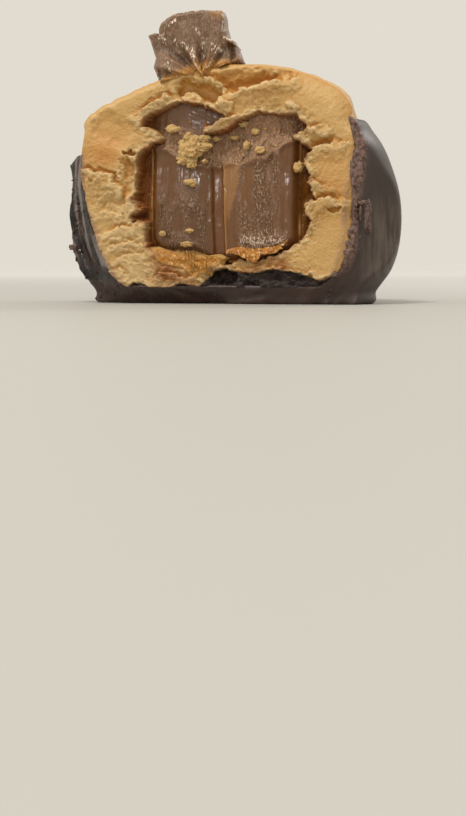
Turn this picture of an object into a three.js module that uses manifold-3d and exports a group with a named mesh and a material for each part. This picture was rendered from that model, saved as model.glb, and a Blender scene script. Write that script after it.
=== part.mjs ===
// A cut salted caramel candy: a ball of peanut butter dough round a soft caramel square, dipped in dark
// chocolate up to its shoulders and set down to harden, so that it has a flat foot and a bare dome.
// A knife has taken the front off, and a torn scrap of caramel lies on the dome.
// Millimetres, +Z up, the flat foot on z = 0, the cut face towards -Y, X across the cut face.
import * as THREE from "three";
import { mergeVertices } from "three/addons/utils/BufferGeometryUtils.js";
import Module from "manifold-3d";

const wasm = await Module();
wasm.setup();

// Driving sizes
const RADIUS = 20.5; // the coated candy at its widest
const CUT = 4; // how far in front of the round axis the knife went down
const AXIS_Y = (CUT - RADIUS) / 2; // the round axis, so that the piece that is left is centred on the origin
const FACE_Y = AXIS_Y - CUT; // the plane of the cut
const DOME = 28.6; // height of the bare dome
const BASE_COAT = 2; // thickness of the chocolate under the dough
const LEAN = 0.078; // the dome climbs to the right by this much for each millimetre across
const SLUMP = 1.35; // the shoulders have slid this far to the left
const RIM = 20.9; // height of the chocolate's edge
const RIM_TILT = 0.12; // that edge climbs to the right
const GAP = 0.15; // clearance between pieces that touch

// The caramel square in the middle of the cut
const CARAMEL = { left: -9.9, right: 8.8, low: 5, high: 23.1, deep: 14, round: 3 };

// Half sections, as [radius, height], from the middle of the foot to the top of the dome
const COAT_SECTION = [
  [0, 0], [16.7, 0], [17.1, 0.5], [17.1, 1.4], [17.9, 2.5], [19.2, 4.2], [20.2, 6.8], [RADIUS, 10.2],
  [20.2, 13.8], [19.6, 16.8], [18.8, 19.4], [17.6, 21.8], [16.2, 24], [13.6, 26.2], [10, 28], [5, 29.4],
  [0, 29.8],
];
const DOUGH_SECTION = [
  [0, BASE_COAT], [14.4, BASE_COAT], [15.8, 2.6], [17.2, 4], [18.4, 7], [18.9, 10.4], [18.8, 13.8],
  [18.4, 17], [17.6, 20], [16.8, 22.4], [15.2, 24.2], [12.4, 25.9], [8.8, 27.3], [4.4, 28.3], [0, DOME],
];

// The knife drew the sides in at the cut, most at the foot and not at all above the shoulders: by how
// much, between which heights that fades out, and how far behind the cut it reaches
const PINCH_REACH = 8;
const COAT_PINCH = { left: 0, leftFade: [17, 7], right: 3.3, rightFade: [23.5, 14] };
const DOUGH_PINCH = { left: 2.4, leftFade: [17, 4], right: 4.3, rightFade: [24.5, 11] };

const AROUND = 56; // sides of the round bodies
const UP = 22; // rings of the round bodies
const FACE_STEP = 0.95; // spacing of the relief on a cut face

const ease = (low, high, t) => {
  const s = Math.min(1, Math.max(0, (t - low) / (high - low)));
  return s * s * (3 - 2 * s);
};

// Smooth repeatable noise from -1 to 1, one random height for each whole step of x and z.
function noise(x, z, seed) {
  const dot = (i, j) => {
    const s = Math.sin(i * 127.1 + j * 311.7 + seed * 74.7) * 43758.5453;
    return s - Math.floor(s);
  };
  const [i, j] = [Math.floor(x), Math.floor(z)];
  const [u, v] = [ease(0, 1, x - i), ease(0, 1, z - j)];
  const low = dot(i, j) + (dot(i + 1, j) - dot(i, j)) * u;
  const high = dot(i, j + 1) + (dot(i + 1, j + 1) - dot(i, j + 1)) * u;
  return 2 * (low + (high - low) * v) - 1;
}

// Distance of (x, z) from the stroke between two points.
function fromStroke(x, z, [x0, z0], [x1, z1]) {
  const [dx, dz] = [x1 - x0, z1 - z0];
  const t = Math.min(1, Math.max(0, ((x - x0) * dx + (z - z0) * dz) / (dx * dx + dz * dz)));
  return Math.hypot(x - x0 - t * dx, z - z0 - t * dz);
}

// Signed distance of (x, z) from a rectangle with round corners, negative inside.
function fromRectangle(x, z, { left, right, low, high, round }) {
  const qx = Math.abs(x - (left + right) / 2) - (right - left) / 2 + round;
  const qz = Math.abs(z - (low + high) / 2) - (high - low) / 2 + round;
  return Math.hypot(Math.max(qx, 0), Math.max(qz, 0)) + Math.min(Math.max(qx, qz), 0) - round;
}

// The handmade unevenness that coat and dough share.
function settle(geometry, pinch) {
  const p = geometry.attributes.position;
  for (let i = 0; i < p.count; i++) {
    const [x, y, z] = [p.getX(i), p.getY(i) + AXIS_Y, p.getZ(i)];
    const turn = Math.atan2(y - AXIS_Y, x);
    const wide = 0.994 + 0.006 * Math.cos(2 * turn) + 0.006 * Math.sin(3 * turn) * ease(2, 8, z);
    const behind = Math.min(1, Math.max(0, (y - FACE_Y) / PINCH_REACH));
    const drawn = x < 0 ? pinch.left * ease(...pinch.leftFade, z) : pinch.right * ease(...pinch.rightFade, z);
    const narrow = 1 - (drawn / RADIUS) * (1 - behind) ** 2;
    const across = x * wide * narrow - SLUMP * ease(12, 24, z);
    p.setXYZ(i, across, AXIS_Y + (y - AXIS_Y) * wide, z + LEAN * x * ease(15, 24, z));
  }
  return geometry;
}

// A round body from a half section, grown all round by a clearance. The line from the middle of the
// foot to its corner stays straight, as the foot is flat.
function turned(section, pinch, grow = 0) {
  const side = new THREE.SplineCurve(section.slice(1).map(([r, z]) => new THREE.Vector2(r, z)));
  const profile = [new THREE.Vector2(...section[0]), ...side.getPoints(UP)];
  for (const p of profile) {
    p.x += p.x > 0 ? grow : 0;
    p.y += p.y < DOME / 2 ? -grow : grow;
  }
  return settle(new THREE.LatheGeometry(profile, AROUND).rotateX(Math.PI / 2), pinch);
}

function solid(geometry) {
  const bare = geometry.index ? geometry.toNonIndexed() : geometry.clone();
  bare.deleteAttribute("normal");
  bare.deleteAttribute("uv");
  const merged = mergeVertices(bare, 1e-4);
  return new wasm.Manifold(
    new wasm.Mesh({
      numProp: 3,
      vertProperties: merged.attributes.position.array,
      triVerts: new Uint32Array(merged.index.array),
    }),
  );
}

// A block in front of the candy whose back face is the relief: depth(x, z) behind the plane of the cut.
function knife(depth, step = FACE_STEP) {
  const [wide, tall, thick, below] = [2 * RADIUS + 6, DOME + 12, 20, 3];
  const block = new THREE.BoxGeometry(wide, thick, tall, Math.round(wide / step), 1, Math.round(tall / step));
  block.translate(0, FACE_Y - thick / 2, tall / 2 - below);
  const p = block.attributes.position;
  for (let i = 0; i < p.count; i++) {
    if (p.getY(i) > FACE_Y - 1e-3) p.setY(i, FACE_Y + depth(p.getX(i), p.getZ(i)));
  }
  return solid(block);
}

// Everything above the chocolate's wavy edge.
const rimHeight = (x, y) =>
  RIM + RIM_TILT * x + 0.7 * Math.sin(0.31 * y + 0.6) + 0.45 * Math.sin(0.55 * x + 0.38 * y);
function aboveRim() {
  const [size, tall, cells] = [2 * RADIUS + 8, 20, 22];
  const block = new THREE.BoxGeometry(size, size, tall, cells, cells, 1).translate(0, 0, RIM + tall / 2);
  const p = block.attributes.position;
  for (let i = 0; i < p.count; i++) {
    if (p.getZ(i) < RIM + 1e-3) p.setZ(i, rimHeight(p.getX(i), p.getY(i)));
  }
  return solid(block);
}

// How far the torn dough lies behind the plane of the cut.
const OPENING = { left: -11.1, right: 10, low: 5.2, high: 23.7, round: 3.4 };
const LEDGES = [
  { from: [-12, 21.4], to: [-8.3, 19.9], half: 0.9 },
  { from: [0.9, 23.5], to: [-3.4, 20.9], half: 0.8 },
  { from: [11.5, 20.6], to: [8.3, 19.9], half: 1 },
  { from: [12, 12], to: [9.4, 11.1], half: 1 },
];
const SCOOPS = [
  { from: [0.7, 26], to: [5.2, 26.7], half: 1.9, deep: 1.9 },
  { from: [-5.6, 24.4], to: [-1.6, 25.2], half: 1.8, deep: 1.6 },
];
function doughDepth(x, z) {
  const edge = fromRectangle(x, z, OPENING) + 0.6 * noise(x / 2.4, z / 2.4, 3);
  let pocket = 4 * ease(1, -1, edge);
  for (const { from, to, half } of LEDGES) {
    pocket = Math.min(pocket, 0.4 + 4 * ease(half * 0.8, half * 2, fromStroke(x, z, from, to)));
  }
  const left = ease(-9, -13, x) * ease(18.5, 16, z);
  const torn = Math.max(ease(3.4, 0.6, edge), left, ease(7, 5, z));
  const crumb = 0.75 * noise(x / 2.6, z / 2.1, 5) + 0.4 * noise(x / 1.3, z / 1.2, 8);
  let depth = 0.12 * noise(x / 6, z / 6, 1) + 0.3 + torn * (0.35 + 0.7 * crumb);
  for (const { from, to, half, deep } of SCOOPS) {
    depth += deep * ease(half, half * 0.3, fromStroke(x, z, from, to));
  }
  return Math.max(depth, pocket);
}

// The knife chipped the chocolate away in a bevel on the left and left it blunt on the right.
function coatDepth(x, z) {
  const bevel = 1.6 * ease(-14.5, -18.5, x) + 0.5 * ease(13, 17, x) + 0.6 * ease(4, 1, z);
  return 0.35 + bevel + 0.35 * noise(x / 1.4, z / 1.8, 11);
}

// The caramel: two knife-drawn lobes side by side under a torn, sunken top.
const GROOVE_X = -0.8;
function caramelDepth(x, z) {
  const torn = ease(-0.8, 0.9, z - (17.4 + 0.07 * x + 0.5 * noise(x / 2.2, 0, 2)));
  const groove = Math.exp(-(((x - GROOVE_X - 0.04 * (14 - z)) / 0.6) ** 2));
  const edge = Math.max(CARAMEL.left - x, x - CARAMEL.right);
  const lobes = 0.3 + 0.8 * groove + 1.2 * ease(-1.9, 0, edge) + 0.25 * noise(x / 1.5, z / 6, 7);
  return lobes + torn * (1.5 + 0.35 * noise(x / 1.2, z / 1.2, 9)) + 0.6 * ease(7.6, 5.4, z);
}

// A block through the dough with the caramel's rounded outline; its foot sags in the middle.
function caramelBlock(grow = 0) {
  const { left, right, low, high, deep, round } = CARAMEL;
  const outline = new THREE.Shape();
  outline.moveTo(left - grow, low + 1.6 + round);
  outline.lineTo(left - grow, high - round);
  outline.quadraticCurveTo(left - grow, high + grow, left + round, high + grow);
  outline.lineTo(right - round, high + grow);
  outline.quadraticCurveTo(right + grow, high + grow, right + grow, high - round);
  outline.lineTo(right + grow, low + 2 + round);
  outline.quadraticCurveTo(right + grow, low + 1.2 - grow, right - round, low + 1 - grow);
  outline.quadraticCurveTo(2.5, low - grow, GROOVE_X, low - 0.3 - grow);
  outline.quadraticCurveTo(-2.5, low + 1.4 - grow, left + round, low + 1.5 - grow);
  outline.quadraticCurveTo(left - grow, low + 1.5 - grow, left - grow, low + 1.6 + round);
  const ahead = 3;
  const block = new THREE.ExtrudeGeometry(outline, {
    depth: ahead + deep + grow,
    bevelEnabled: false,
    curveSegments: 5,
  });
  return solid(block.rotateX(Math.PI / 2).translate(0, FACE_Y + deep + grow, 0));
}

// The scrap on the dome: a torn wedge of caramel with a shelf on its left and a slope on its right.
const SCRAP = { deep: 7, back: 0.85, middle: [-3.9, 27.5] };
const SCRAP_OUTLINE = [
  [-10.1, 32.6], [-8.6, 33], [-8, 33.6], [-6.4, 34.5], [-4.8, 34.9], [-2.9, 35], [-0.5, 34.8], [-0.3, 33.4],
  [0.1, 31.6], [0.7, 31.4], [1.4, 29.9], [1.9, 28.8], [2, 25.4], [-8.6, 24.9], [-9.3, 28.3], [-9.1, 29.8],
];
function scrapDepth(x, z) {
  const pleats = 0.45 * Math.cos(9 * Math.atan2(x + 2.7, z - 26.4)) * ease(33, 29.5, z);
  const shelf = 2.2 * ease(-8, -8.9, x) * ease(33.4, 32.6, z);
  const slope = 2.2 * ease(-0.2, 0.5, x);
  return 0.5 + pleats + shelf + slope + 0.3 * noise(x / 1.3, z / 1.3, 21);
}
function scrapBlock() {
  const outline = new THREE.Shape(SCRAP_OUTLINE.map(([x, z]) => new THREE.Vector2(x, z)));
  const block = new THREE.ExtrudeGeometry(outline, { depth: SCRAP.deep, steps: 5, bevelEnabled: false });
  block.rotateX(Math.PI / 2).translate(0, FACE_Y + SCRAP.deep, 0);
  const p = block.attributes.position;
  const [mx, mz] = SCRAP.middle;
  for (let i = 0; i < p.count; i++) {
    const back = ease(0.4, 1, (p.getY(i) - FACE_Y) / SCRAP.deep);
    const shrink = 1 + (SCRAP.back - 1) * back;
    p.setX(i, mx + (p.getX(i) - mx) * shrink);
    p.setZ(i, mz + (p.getZ(i) - mz) * (p.getZ(i) > mz ? shrink : 1));
  }
  return solid(block);
}

const material = (color, roughness) => new THREE.MeshStandardMaterial({ color, roughness, metalness: 0 });

function part(name, shape, finish) {
  const { vertProperties, triVerts } = shape.getMesh();
  const geometry = new THREE.BufferGeometry();
  geometry.setAttribute("position", new THREE.BufferAttribute(new Float32Array(vertProperties), 3));
  geometry.setIndex(new THREE.BufferAttribute(new Uint32Array(triVerts), 1));
  geometry.computeVertexNormals();
  const mesh = new THREE.Mesh(geometry, finish);
  mesh.name = name;
  return mesh;
}

const doughBody = solid(turned(DOUGH_SECTION, DOUGH_PINCH));
const doughRoom = solid(turned(DOUGH_SECTION, DOUGH_PINCH, GAP));

const coatBody = solid(turned(COAT_SECTION, COAT_PINCH));
const coat = coatBody.subtract(doughRoom).subtract(aboveRim()).subtract(knife(coatDepth));
const caramelRoom = caramelBlock(GAP).subtract(knife((x, z) => caramelDepth(x, z) - GAP));
const dough = doughBody.subtract(knife(doughDepth)).subtract(caramelRoom);
const caramel = caramelBlock().subtract(knife(caramelDepth));
const scrap = scrapBlock().subtract(knife(scrapDepth, 0.7)).subtract(doughRoom);

const candy = new THREE.Group();
candy.add(part("chocolate_coat", coat, material(0x45342b, 0.42)));
candy.add(part("peanut_butter_dough", dough, material(0xc79b5c, 0.75)));
candy.add(part("caramel_centre", caramel, material(0x74563c, 0.4)));
candy.add(part("caramel_scrap", scrap, material(0x80603f, 0.3)));

export default candy;
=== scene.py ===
# %% [markdown]
# A cut salted caramel candy, as a lesson in modelling food in Blender.
# The real thing is a ball of peanut butter dough rolled round a soft caramel square, dipped in dark
# chocolate up to its shoulders and set down to harden. A knife has taken its front off, so the layers
# show, and a torn scrap of caramel lies on the bare dome. The CAD model gives the sizes and the places;
# this script gives each layer the surface that a knife, a hand or a dip leaves on it.

# %% The frame, the box of the CAD model and the units
import math

import bmesh
import bpy
import numpy as np
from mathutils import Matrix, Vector


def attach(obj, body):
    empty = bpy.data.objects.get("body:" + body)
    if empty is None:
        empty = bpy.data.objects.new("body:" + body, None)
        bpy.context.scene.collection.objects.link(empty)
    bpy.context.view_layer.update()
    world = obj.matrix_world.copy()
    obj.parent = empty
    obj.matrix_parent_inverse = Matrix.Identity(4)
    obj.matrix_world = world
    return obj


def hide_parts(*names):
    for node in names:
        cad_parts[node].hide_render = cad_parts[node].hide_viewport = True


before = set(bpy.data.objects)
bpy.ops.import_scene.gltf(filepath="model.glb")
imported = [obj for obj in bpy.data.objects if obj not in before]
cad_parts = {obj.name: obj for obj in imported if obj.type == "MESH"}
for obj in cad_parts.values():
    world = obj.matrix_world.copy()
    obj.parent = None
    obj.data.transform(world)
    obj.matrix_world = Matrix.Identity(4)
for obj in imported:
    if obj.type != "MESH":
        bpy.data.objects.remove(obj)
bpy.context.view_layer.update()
MM = 0.001

# %% [markdown]
# The camera comes first, because every feature below was measured in the photograph through it.
# It stands a hand's length away, just above the floor, a little to the right of the cut face.

# %% The camera at the photograph's viewing angle
RADIUS = 20.5
CUT = 4
AXIS_Y = (CUT - RADIUS) / 2
FACE_Y = AXIS_Y - CUT
VIEW_AZIMUTH = math.radians(14)
VIEW_DISTANCE = 185
VIEW_HEIGHT = 5
HORIZON_ROW = 262.5
FRAME_TALL = 816
FOCAL_PIXELS = 1500
SENSOR = 36

lens = bpy.data.cameras.new("photograph_camera")
lens.sensor_width = SENSOR
lens.lens = FOCAL_PIXELS / FRAME_TALL * SENSOR
lens.clip_start = 0.005
camera = bpy.data.objects.new("photograph_camera", lens)
bpy.context.collection.objects.link(camera)
bpy.context.scene.camera = camera
camera.location = Vector((
    VIEW_DISTANCE * math.sin(VIEW_AZIMUTH),
    AXIS_Y - VIEW_DISTANCE * math.cos(VIEW_AZIMUTH),
    VIEW_HEIGHT,
)) * MM
tilt = math.atan((FRAME_TALL / 2 - HORIZON_ROW) / FOCAL_PIXELS)
camera.rotation_euler = (math.pi / 2 - tilt, 0, VIEW_AZIMUTH)
print("camera lens %.1f mm, pitched down %.2f degrees" % (lens.lens, math.degrees(tilt)))

# %% [markdown]
# Food is never smooth, so nearly every surface here is a rule plus some unevenness. These helpers give
# a soft step, repeatable noise, round grains and the distance to a drawn line or outline. They work on
# whole arrays at once, so that a hundred thousand points take a fraction of a second.

# %% Helpers for reliefs
FAR = 99.0


def ease(low, high, t):
    """A soft step: 0 before low, 1 past high, also where high is the lower number."""
    s = np.clip((t - low) / (high - low), 0, 1)
    return s * s * (3 - 2 * s)


def scatter(i, j, seed):
    """A number from 0 to 1 that looks random and is the same every time."""
    s = np.sin(i * 127.1 + j * 311.7 + seed * 74.7) * 43758.5453
    return s - np.floor(s)


def noise(x, z, seed):
    """Smooth noise from -1 to 1 with one random height for each whole step."""
    i, j = np.floor(x), np.floor(z)
    u, v = ease(0, 1, x - i), ease(0, 1, z - j)
    low = scatter(i, j, seed) * (1 - u) + scatter(i + 1, j, seed) * u
    high = scatter(i, j + 1, seed) * (1 - u) + scatter(i + 1, j + 1, seed) * u
    return 2 * (low * (1 - v) + high * v) - 1


def rough(x, z, seed, octaves=4):
    """Noise on top of noise, each layer half the size of the one before."""
    return sum(noise(x * 2**k, z * 2**k, seed + 13 * k) / 2**k for k in range(octaves))


def grains(x, z, seed):
    """Distance to the nearest of one random point in each whole step: 0 on a grain, about 1 between."""
    best = np.full(np.shape(x), FAR)
    for di in (-1, 0, 1):
        for dj in (-1, 0, 1):
            ci, cj = np.floor(x) + di, np.floor(z) + dj
            px, pz = ci + scatter(ci, cj, seed), cj + scatter(ci, cj, seed + 0.5)
            best = np.minimum(best, np.hypot(px - x, pz - z))
    return best


def shards(x, z, seed):
    """Broken facets: round each random point the surface is a small plane with a tilt of its own."""
    best = np.full(np.shape(x), FAR)
    height = np.zeros(np.shape(x))
    for di in (-1, 0, 1):
        for dj in (-1, 0, 1):
            ci, cj = np.floor(x) + di, np.floor(z) + dj
            dx, dz = x - ci - scatter(ci, cj, seed), z - cj - scatter(ci, cj, seed + 0.5)
            near = np.hypot(dx, dz)
            tilt_x, tilt_z = scatter(ci, cj, seed + 0.2) - 0.5, scatter(ci, cj, seed + 0.7) - 0.5
            plane = 2 * scatter(ci, cj, seed + 0.9) - 1 + 1.6 * (tilt_x * dx + tilt_z * dz)
            height = np.where(near < best, plane, height)
            best = np.minimum(best, near)
    return height


def from_stretch(x, z, start, end):
    """Distance to the straight stretch from start to end."""
    x0, z0 = start
    dx, dz = end[0] - x0, end[1] - z0
    t = np.clip(((x - x0) * dx + (z - z0) * dz) / (dx * dx + dz * dz), 0, 1)
    return np.hypot(x - x0 - t * dx, z - z0 - t * dz)


def from_stroke(x, z, points):
    """Distance to a line drawn through the points."""
    best = np.full(np.shape(x), FAR)
    for start, end in zip(points[:-1], points[1:]):
        best = np.minimum(best, from_stretch(x, z, start, end))
    return best


def from_outline(x, z, points):
    """Signed distance to a closed outline, negative inside."""
    inside = np.zeros(np.shape(x), bool)
    for (x0, z0), (x1, z1) in zip(points, points[1:] + points[:1]):
        crosses = (z0 > z) != (z1 > z)
        slope = (x1 - x0) / (z1 - z0) if z1 != z0 else 0
        inside ^= crosses & (x < x0 + slope * (z - z0))
    away = from_stroke(x, z, points + points[:1])
    return np.where(inside, -away, away)


def across_line(x, z, points):
    """Distance to a line, positive on the right of the way it is drawn, and a fade towards its ends."""
    best, side = np.full(np.shape(x), FAR), np.ones(np.shape(x))
    for (x0, z0), (x1, z1) in zip(points[:-1], points[1:]):
        near = from_stretch(x, z, (x0, z0), (x1, z1))
        side = np.where(near < best, np.sign((z1 - z0) * (x - x0) - (x1 - x0) * (z - z0)), side)
        best = np.minimum(best, near)
    (x0, z0), (x1, z1) = points[0], points[-1]
    return best * side, ease(0, 1.1, np.minimum(np.hypot(x - x0, z - z0), np.hypot(x - x1, z - z1)))


def curve_through(points, count):
    """A smooth curve through the points."""
    p = np.array([points[0], *points, points[-1]], float)
    t = np.linspace(0, len(points) - 1, count)
    i = np.minimum(t.astype(int), len(points) - 2)
    w = (t - i)[:, None]
    a, b, c, d = p[i], p[i + 1], p[i + 2], p[i + 3]
    v0, v1 = (c - a) / 2, (d - b) / 2
    return (2 * b - 2 * c + v0 + v1) * w**3 + (3 * c - 3 * b - 2 * v0 - v1) * w**2 + v0 * w + b


# %% [markdown]
# The dough and the coat share one hand-made unevenness: the dome climbs to the right, the shoulders
# have slid to the left, and the knife drew the sides in at the cut. Each body is a half section turned
# round and then pushed through this rule, so that the layers stay concentric.

# %% The round bodies
BASE_COAT = 2
LEAN = 0.078
SLUMP = 1.35
PINCH_REACH = 8
COAT_PINCH = {"left": -1.5, "left_fade": (16, 11), "right": 3.3, "right_fade": (23.5, 14)}
DOUGH_PINCH = {"left": 2.4, "left_fade": (17, 4), "right": 4.3, "right_fade": (24.5, 11)}
COAT_SECTION = [
    (17.2, 0), (17.6, 0.35), (17.6, 0.8), (17.5, 1.4), (18.2, 2.4), (19.4, 4.2), (20.2, 6.8),
    (RADIUS, 10.2), (20.2, 13.8), (19.6, 16.8), (18.8, 19.4), (17.6, 21.8), (16.2, 24), (13.6, 26.2),
    (10, 28), (5, 29.4), (0, 29.8),
]
DOUGH_SECTION = [
    (14.4, BASE_COAT), (15.8, 2.6), (17.2, 4), (18.4, 7), (18.9, 10.4), (18.8, 13.8), (18.4, 17),
    (17.6, 20), (16.8, 22.4), (15.2, 24.2), (12.4, 25.9), (8.8, 27.3), (4.4, 28.3), (0, 28.6),
]


def settle(x, y, z, pinch):
    """From a body turned round the axis to the uneven one, as an array of points."""
    turn = np.arctan2(y, x)
    wide = 0.994 + 0.006 * np.cos(2 * turn) + 0.006 * np.sin(3 * turn) * ease(2, 8, z)
    behind = np.clip((y + CUT) / PINCH_REACH, 0, 1)
    drawn = np.where(
        x < 0, pinch["left"] * ease(*pinch["left_fade"], z), pinch["right"] * ease(*pinch["right_fade"], z)
    )
    near_cut = (1 - behind) ** 2
    full_left = 0.085 * near_cut * np.exp(-(((z - 24.2) / 1.7) ** 2)) * ease(0, -6, x)
    flat_right = (0.075 * near_cut - 0.07) * np.exp(-(((z - 21.8) / 2.3) ** 2)) * ease(0, 6, x)
    narrow = 1 - drawn / RADIUS * near_cut + full_left + flat_right
    across = x * wide * narrow - SLUMP * ease(12, 24, z)
    return np.stack([across, AXIS_Y + y * wide, z + LEAN * x * ease(15, 24, z)], -1)


# %% [markdown]
# Every cut piece has the same build: a front that the knife or a tear left, and a back that follows
# some rule. A polar net suits this. Rings of points start at a centre on the face, run out to the
# outline, turn the edge and carry on round the back to a pole, so there is no seam and no loose edge.

# %% A closed net of rings
def placed(name, data):
    """A new object in the scene, at the origin."""
    made = bpy.data.objects.new(name, data)
    bpy.context.collection.objects.link(made)
    return made


def new_object(name, points, faces):
    """An object from points in millimetres and the faces between them."""
    mesh = bpy.data.meshes.new(name)
    mesh.from_pydata((np.asarray(points) * MM).tolist(), [], [list(f) for f in faces])
    mesh.validate()
    mesh.shade_smooth()
    return placed(name, mesh)


def net_faces(rings, around):
    """Quads between rings, and a fan to the centre point (first) and to the pole (last)."""
    k = np.arange(around)
    n = (k + 1) % around
    start = 1 + around * np.arange(rings)
    pole = 1 + around * rings
    faces = [(0, a, b) for a, b in zip(start[0] + k, start[0] + n)]
    for a, b in zip(start[:-1], start[1:]):
        faces += np.stack([a + k, b + k, b + n, a + n], 1).tolist()
    faces += [(a, pole, b) for a, b in zip(start[-1] + k, start[-1] + n)]
    return faces


def ringed(name, centre, rings, pole):
    """An object from its centre point, an array of rings (ring, column, xyz) and its pole."""
    points = np.concatenate([[centre], rings.reshape(-1, 3), [pole]])
    return new_object(name, points, net_faces(*rings.shape[:2]))


def directions(around):
    """Angles round a centre on the face, and the way that each points: X to the right and Z up."""
    turn = np.linspace(0, 2 * math.pi, around, endpoint=False)
    return turn, np.stack([np.cos(turn), 0 * turn, np.sin(turn)], -1)


def face_net(middle, rim, shares):
    """Rings from near the middle out to the rim, and how far inside the rim each point lies."""
    share = shares[:, None, None]
    inland = (1 - share[..., 0]) * np.hypot(rim[:, 0] - middle[0], rim[:, 2] - middle[2])
    return np.asarray(middle) + share * (rim - np.asarray(middle)), inland


def joined(name, lumps):
    """One object from several lumps, each an array of points and an array of triangles."""
    starts = np.cumsum([0] + [len(points) for points, _ in lumps])
    faces = np.concatenate([triangles + start for (_, triangles), start in zip(lumps, starts)])
    return new_object(name, np.concatenate([points for points, _ in lumps]), faces.tolist())


def give(piece, name, values):
    """Stores one number for each point, for a material or a node tree to read."""
    made = piece.data.attributes.new(name, "FLOAT", "POINT")
    made.data.foreach_set("value", np.asarray(values, np.float32))


def give_all(piece, **values):
    """Stores the same number for every point, under each name."""
    for name, value in values.items():
        give(piece, name, np.full(len(piece.data.vertices), value))


def give_rings(piece, name, values):
    """The same for a net of rings, from an array of one number for each ring and column."""
    give(piece, name, np.concatenate([values[0, :1], values.ravel(), values[-1, :1]]))


def points_of(piece):
    """The piece's points in millimetres."""
    flat = np.empty(len(piece.data.vertices) * 3, np.float32)
    piece.data.vertices.foreach_get("co", flat)
    return flat.reshape(-1, 3) / MM


def blurred(rings, steps):
    """The rings' values smoothed over their neighbours, round the columns and along the rings."""
    soft = rings.astype(float)
    for _ in range(steps):
        soft = (np.roll(soft, 1, 1) + np.roll(soft, -1, 1) + 2 * soft) / 4
        padded = np.concatenate([soft[:1], soft, soft[-1:]])
        soft = (padded[:-2] + padded[2:] + 2 * soft) / 4
    return soft


# %% [markdown]
# Geometry Nodes do the fine work that would be dull to type. The first tree roughens a surface: it
# moves each point along its normal by layered noise, as much as a mask on the point says. Its sizes are
# named inputs, so dough, chocolate and caramel use the same tree with their own values.

# %% A node tree that roughens a surface
def node(tree, kind, inputs=None, **settings):
    """A new node, with its settings, and its inputs linked or filled in."""
    made = tree.nodes.new(kind)
    for key, value in settings.items():
        setattr(made, key, value)
    for key, value in (inputs or {}).items():
        if isinstance(value, bpy.types.NodeSocket):
            tree.links.new(value, made.inputs[key])
        else:
            made.inputs[key].default_value = value
    return made


def new_tree(name, kind, sockets):
    """A new tree with its named sockets, and the nodes for what goes in and what comes out."""
    tree = bpy.data.node_groups.new(name, kind)
    for label, way, socket_type, value in sockets:
        made = tree.interface.new_socket(name=label, in_out=way, socket_type=socket_type)
        if value is not None:
            made.default_value = value
    return tree, tree.nodes.new("NodeGroupInput"), tree.nodes.new("NodeGroupOutput")


def geometry_tree(name, inputs):
    """A Geometry Nodes tree: geometry and a finish go in with the named inputs, geometry comes out."""
    inputs = [("Geometry", "Geometry", None), *inputs, ("Finish", "Material", None)]
    sockets = [(label, "INPUT", "NodeSocket" + kind, value) for label, kind, value in inputs]
    sockets.append(("Geometry", "OUTPUT", "NodeSocketGeometry", None))
    return new_tree(name, "GeometryNodeTree", sockets)


def shader_group(name, inputs, outputs):
    """A shader group whose sockets are all numbers."""
    sockets = [(label, "INPUT", "NodeSocketFloat", value) for label, value in inputs.items()]
    sockets += [(label, "OUTPUT", "NodeSocketFloat", None) for label in outputs]
    return new_tree(name, "ShaderNodeTree", sockets)


def math_node(tree, operation, a, b=0.0):
    return node(tree, "ShaderNodeMath", {0: a, 1: b}, operation=operation).outputs[0]


def object_place(tree):
    return node(tree, "ShaderNodeTexCoord").outputs["Object"]


def stored(tree, name):
    """A number that was stored on the points, for a Geometry Nodes tree."""
    made = node(tree, "GeometryNodeInputNamedAttribute", {"Name": name}, data_type="FLOAT")
    return made.outputs["Attribute"]


def end_tree(tree, geometry, finish, result):
    """Every tree ends alike: instances become real, the finish is set, and the mesh goes out."""
    real = node(tree, "GeometryNodeRealizeInstances", {0: geometry}).outputs[0]
    painted = node(tree, "GeometryNodeSetMaterial", {"Geometry": real, "Material": finish}).outputs[0]
    tree.links.new(painted, result.inputs[0])


def roughening_tree():
    tree, given, result = geometry_tree("roughen_surface", [
        ("Mask", "String", "torn"), ("Grain size", "Float", 0.0004), ("Grain height", "Float", 0.0001),
        ("Seed", "Float", 0.0),
    ])
    scale = math_node(tree, "DIVIDE", 1.0, given.outputs["Grain size"])
    lumps = node(tree, "ShaderNodeTexNoise", {
        "W": given.outputs["Seed"], "Scale": scale, "Detail": 3.0, "Roughness": 0.6,
    }, noise_dimensions="4D")
    signed = math_node(tree, "SUBTRACT", lumps.outputs[0], 0.5)
    height = math_node(tree, "MULTIPLY", signed, given.outputs["Grain height"])
    masked = math_node(tree, "MULTIPLY", height, stored(tree, given.outputs["Mask"]))
    offset = node(tree, "ShaderNodeVectorMath", {
        0: node(tree, "GeometryNodeInputNormal").outputs["Normal"], "Scale": masked,
    }, operation="SCALE")
    moved = node(tree, "GeometryNodeSetPosition", {
        "Geometry": given.outputs["Geometry"], "Offset": offset.outputs[0],
    })
    end_tree(tree, moved.outputs[0], given.outputs["Finish"], result)
    return tree


ROUGHEN = roughening_tree()


def run_tree(piece, tree, values):
    """Runs a node tree on a piece with the given inputs and keeps the result as its plain mesh."""
    modifier = piece.modifiers.new(tree.name, "NODES")
    modifier.node_group = tree
    names = {s.name: s.identifier for s in tree.interface.items_tree if s.in_out == "INPUT"}
    for label, value in values.items():
        modifier[names[label]] = value
    return bake(piece)


def bake(piece):
    """Applies what the piece's modifiers make, and removes them."""
    made = bpy.data.meshes.new_from_object(piece.evaluated_get(bpy.context.evaluated_depsgraph_get()))
    old = piece.data
    piece.modifiers.clear()
    piece.data = made
    made.name = piece.name
    bpy.data.meshes.remove(old)
    return piece


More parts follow.
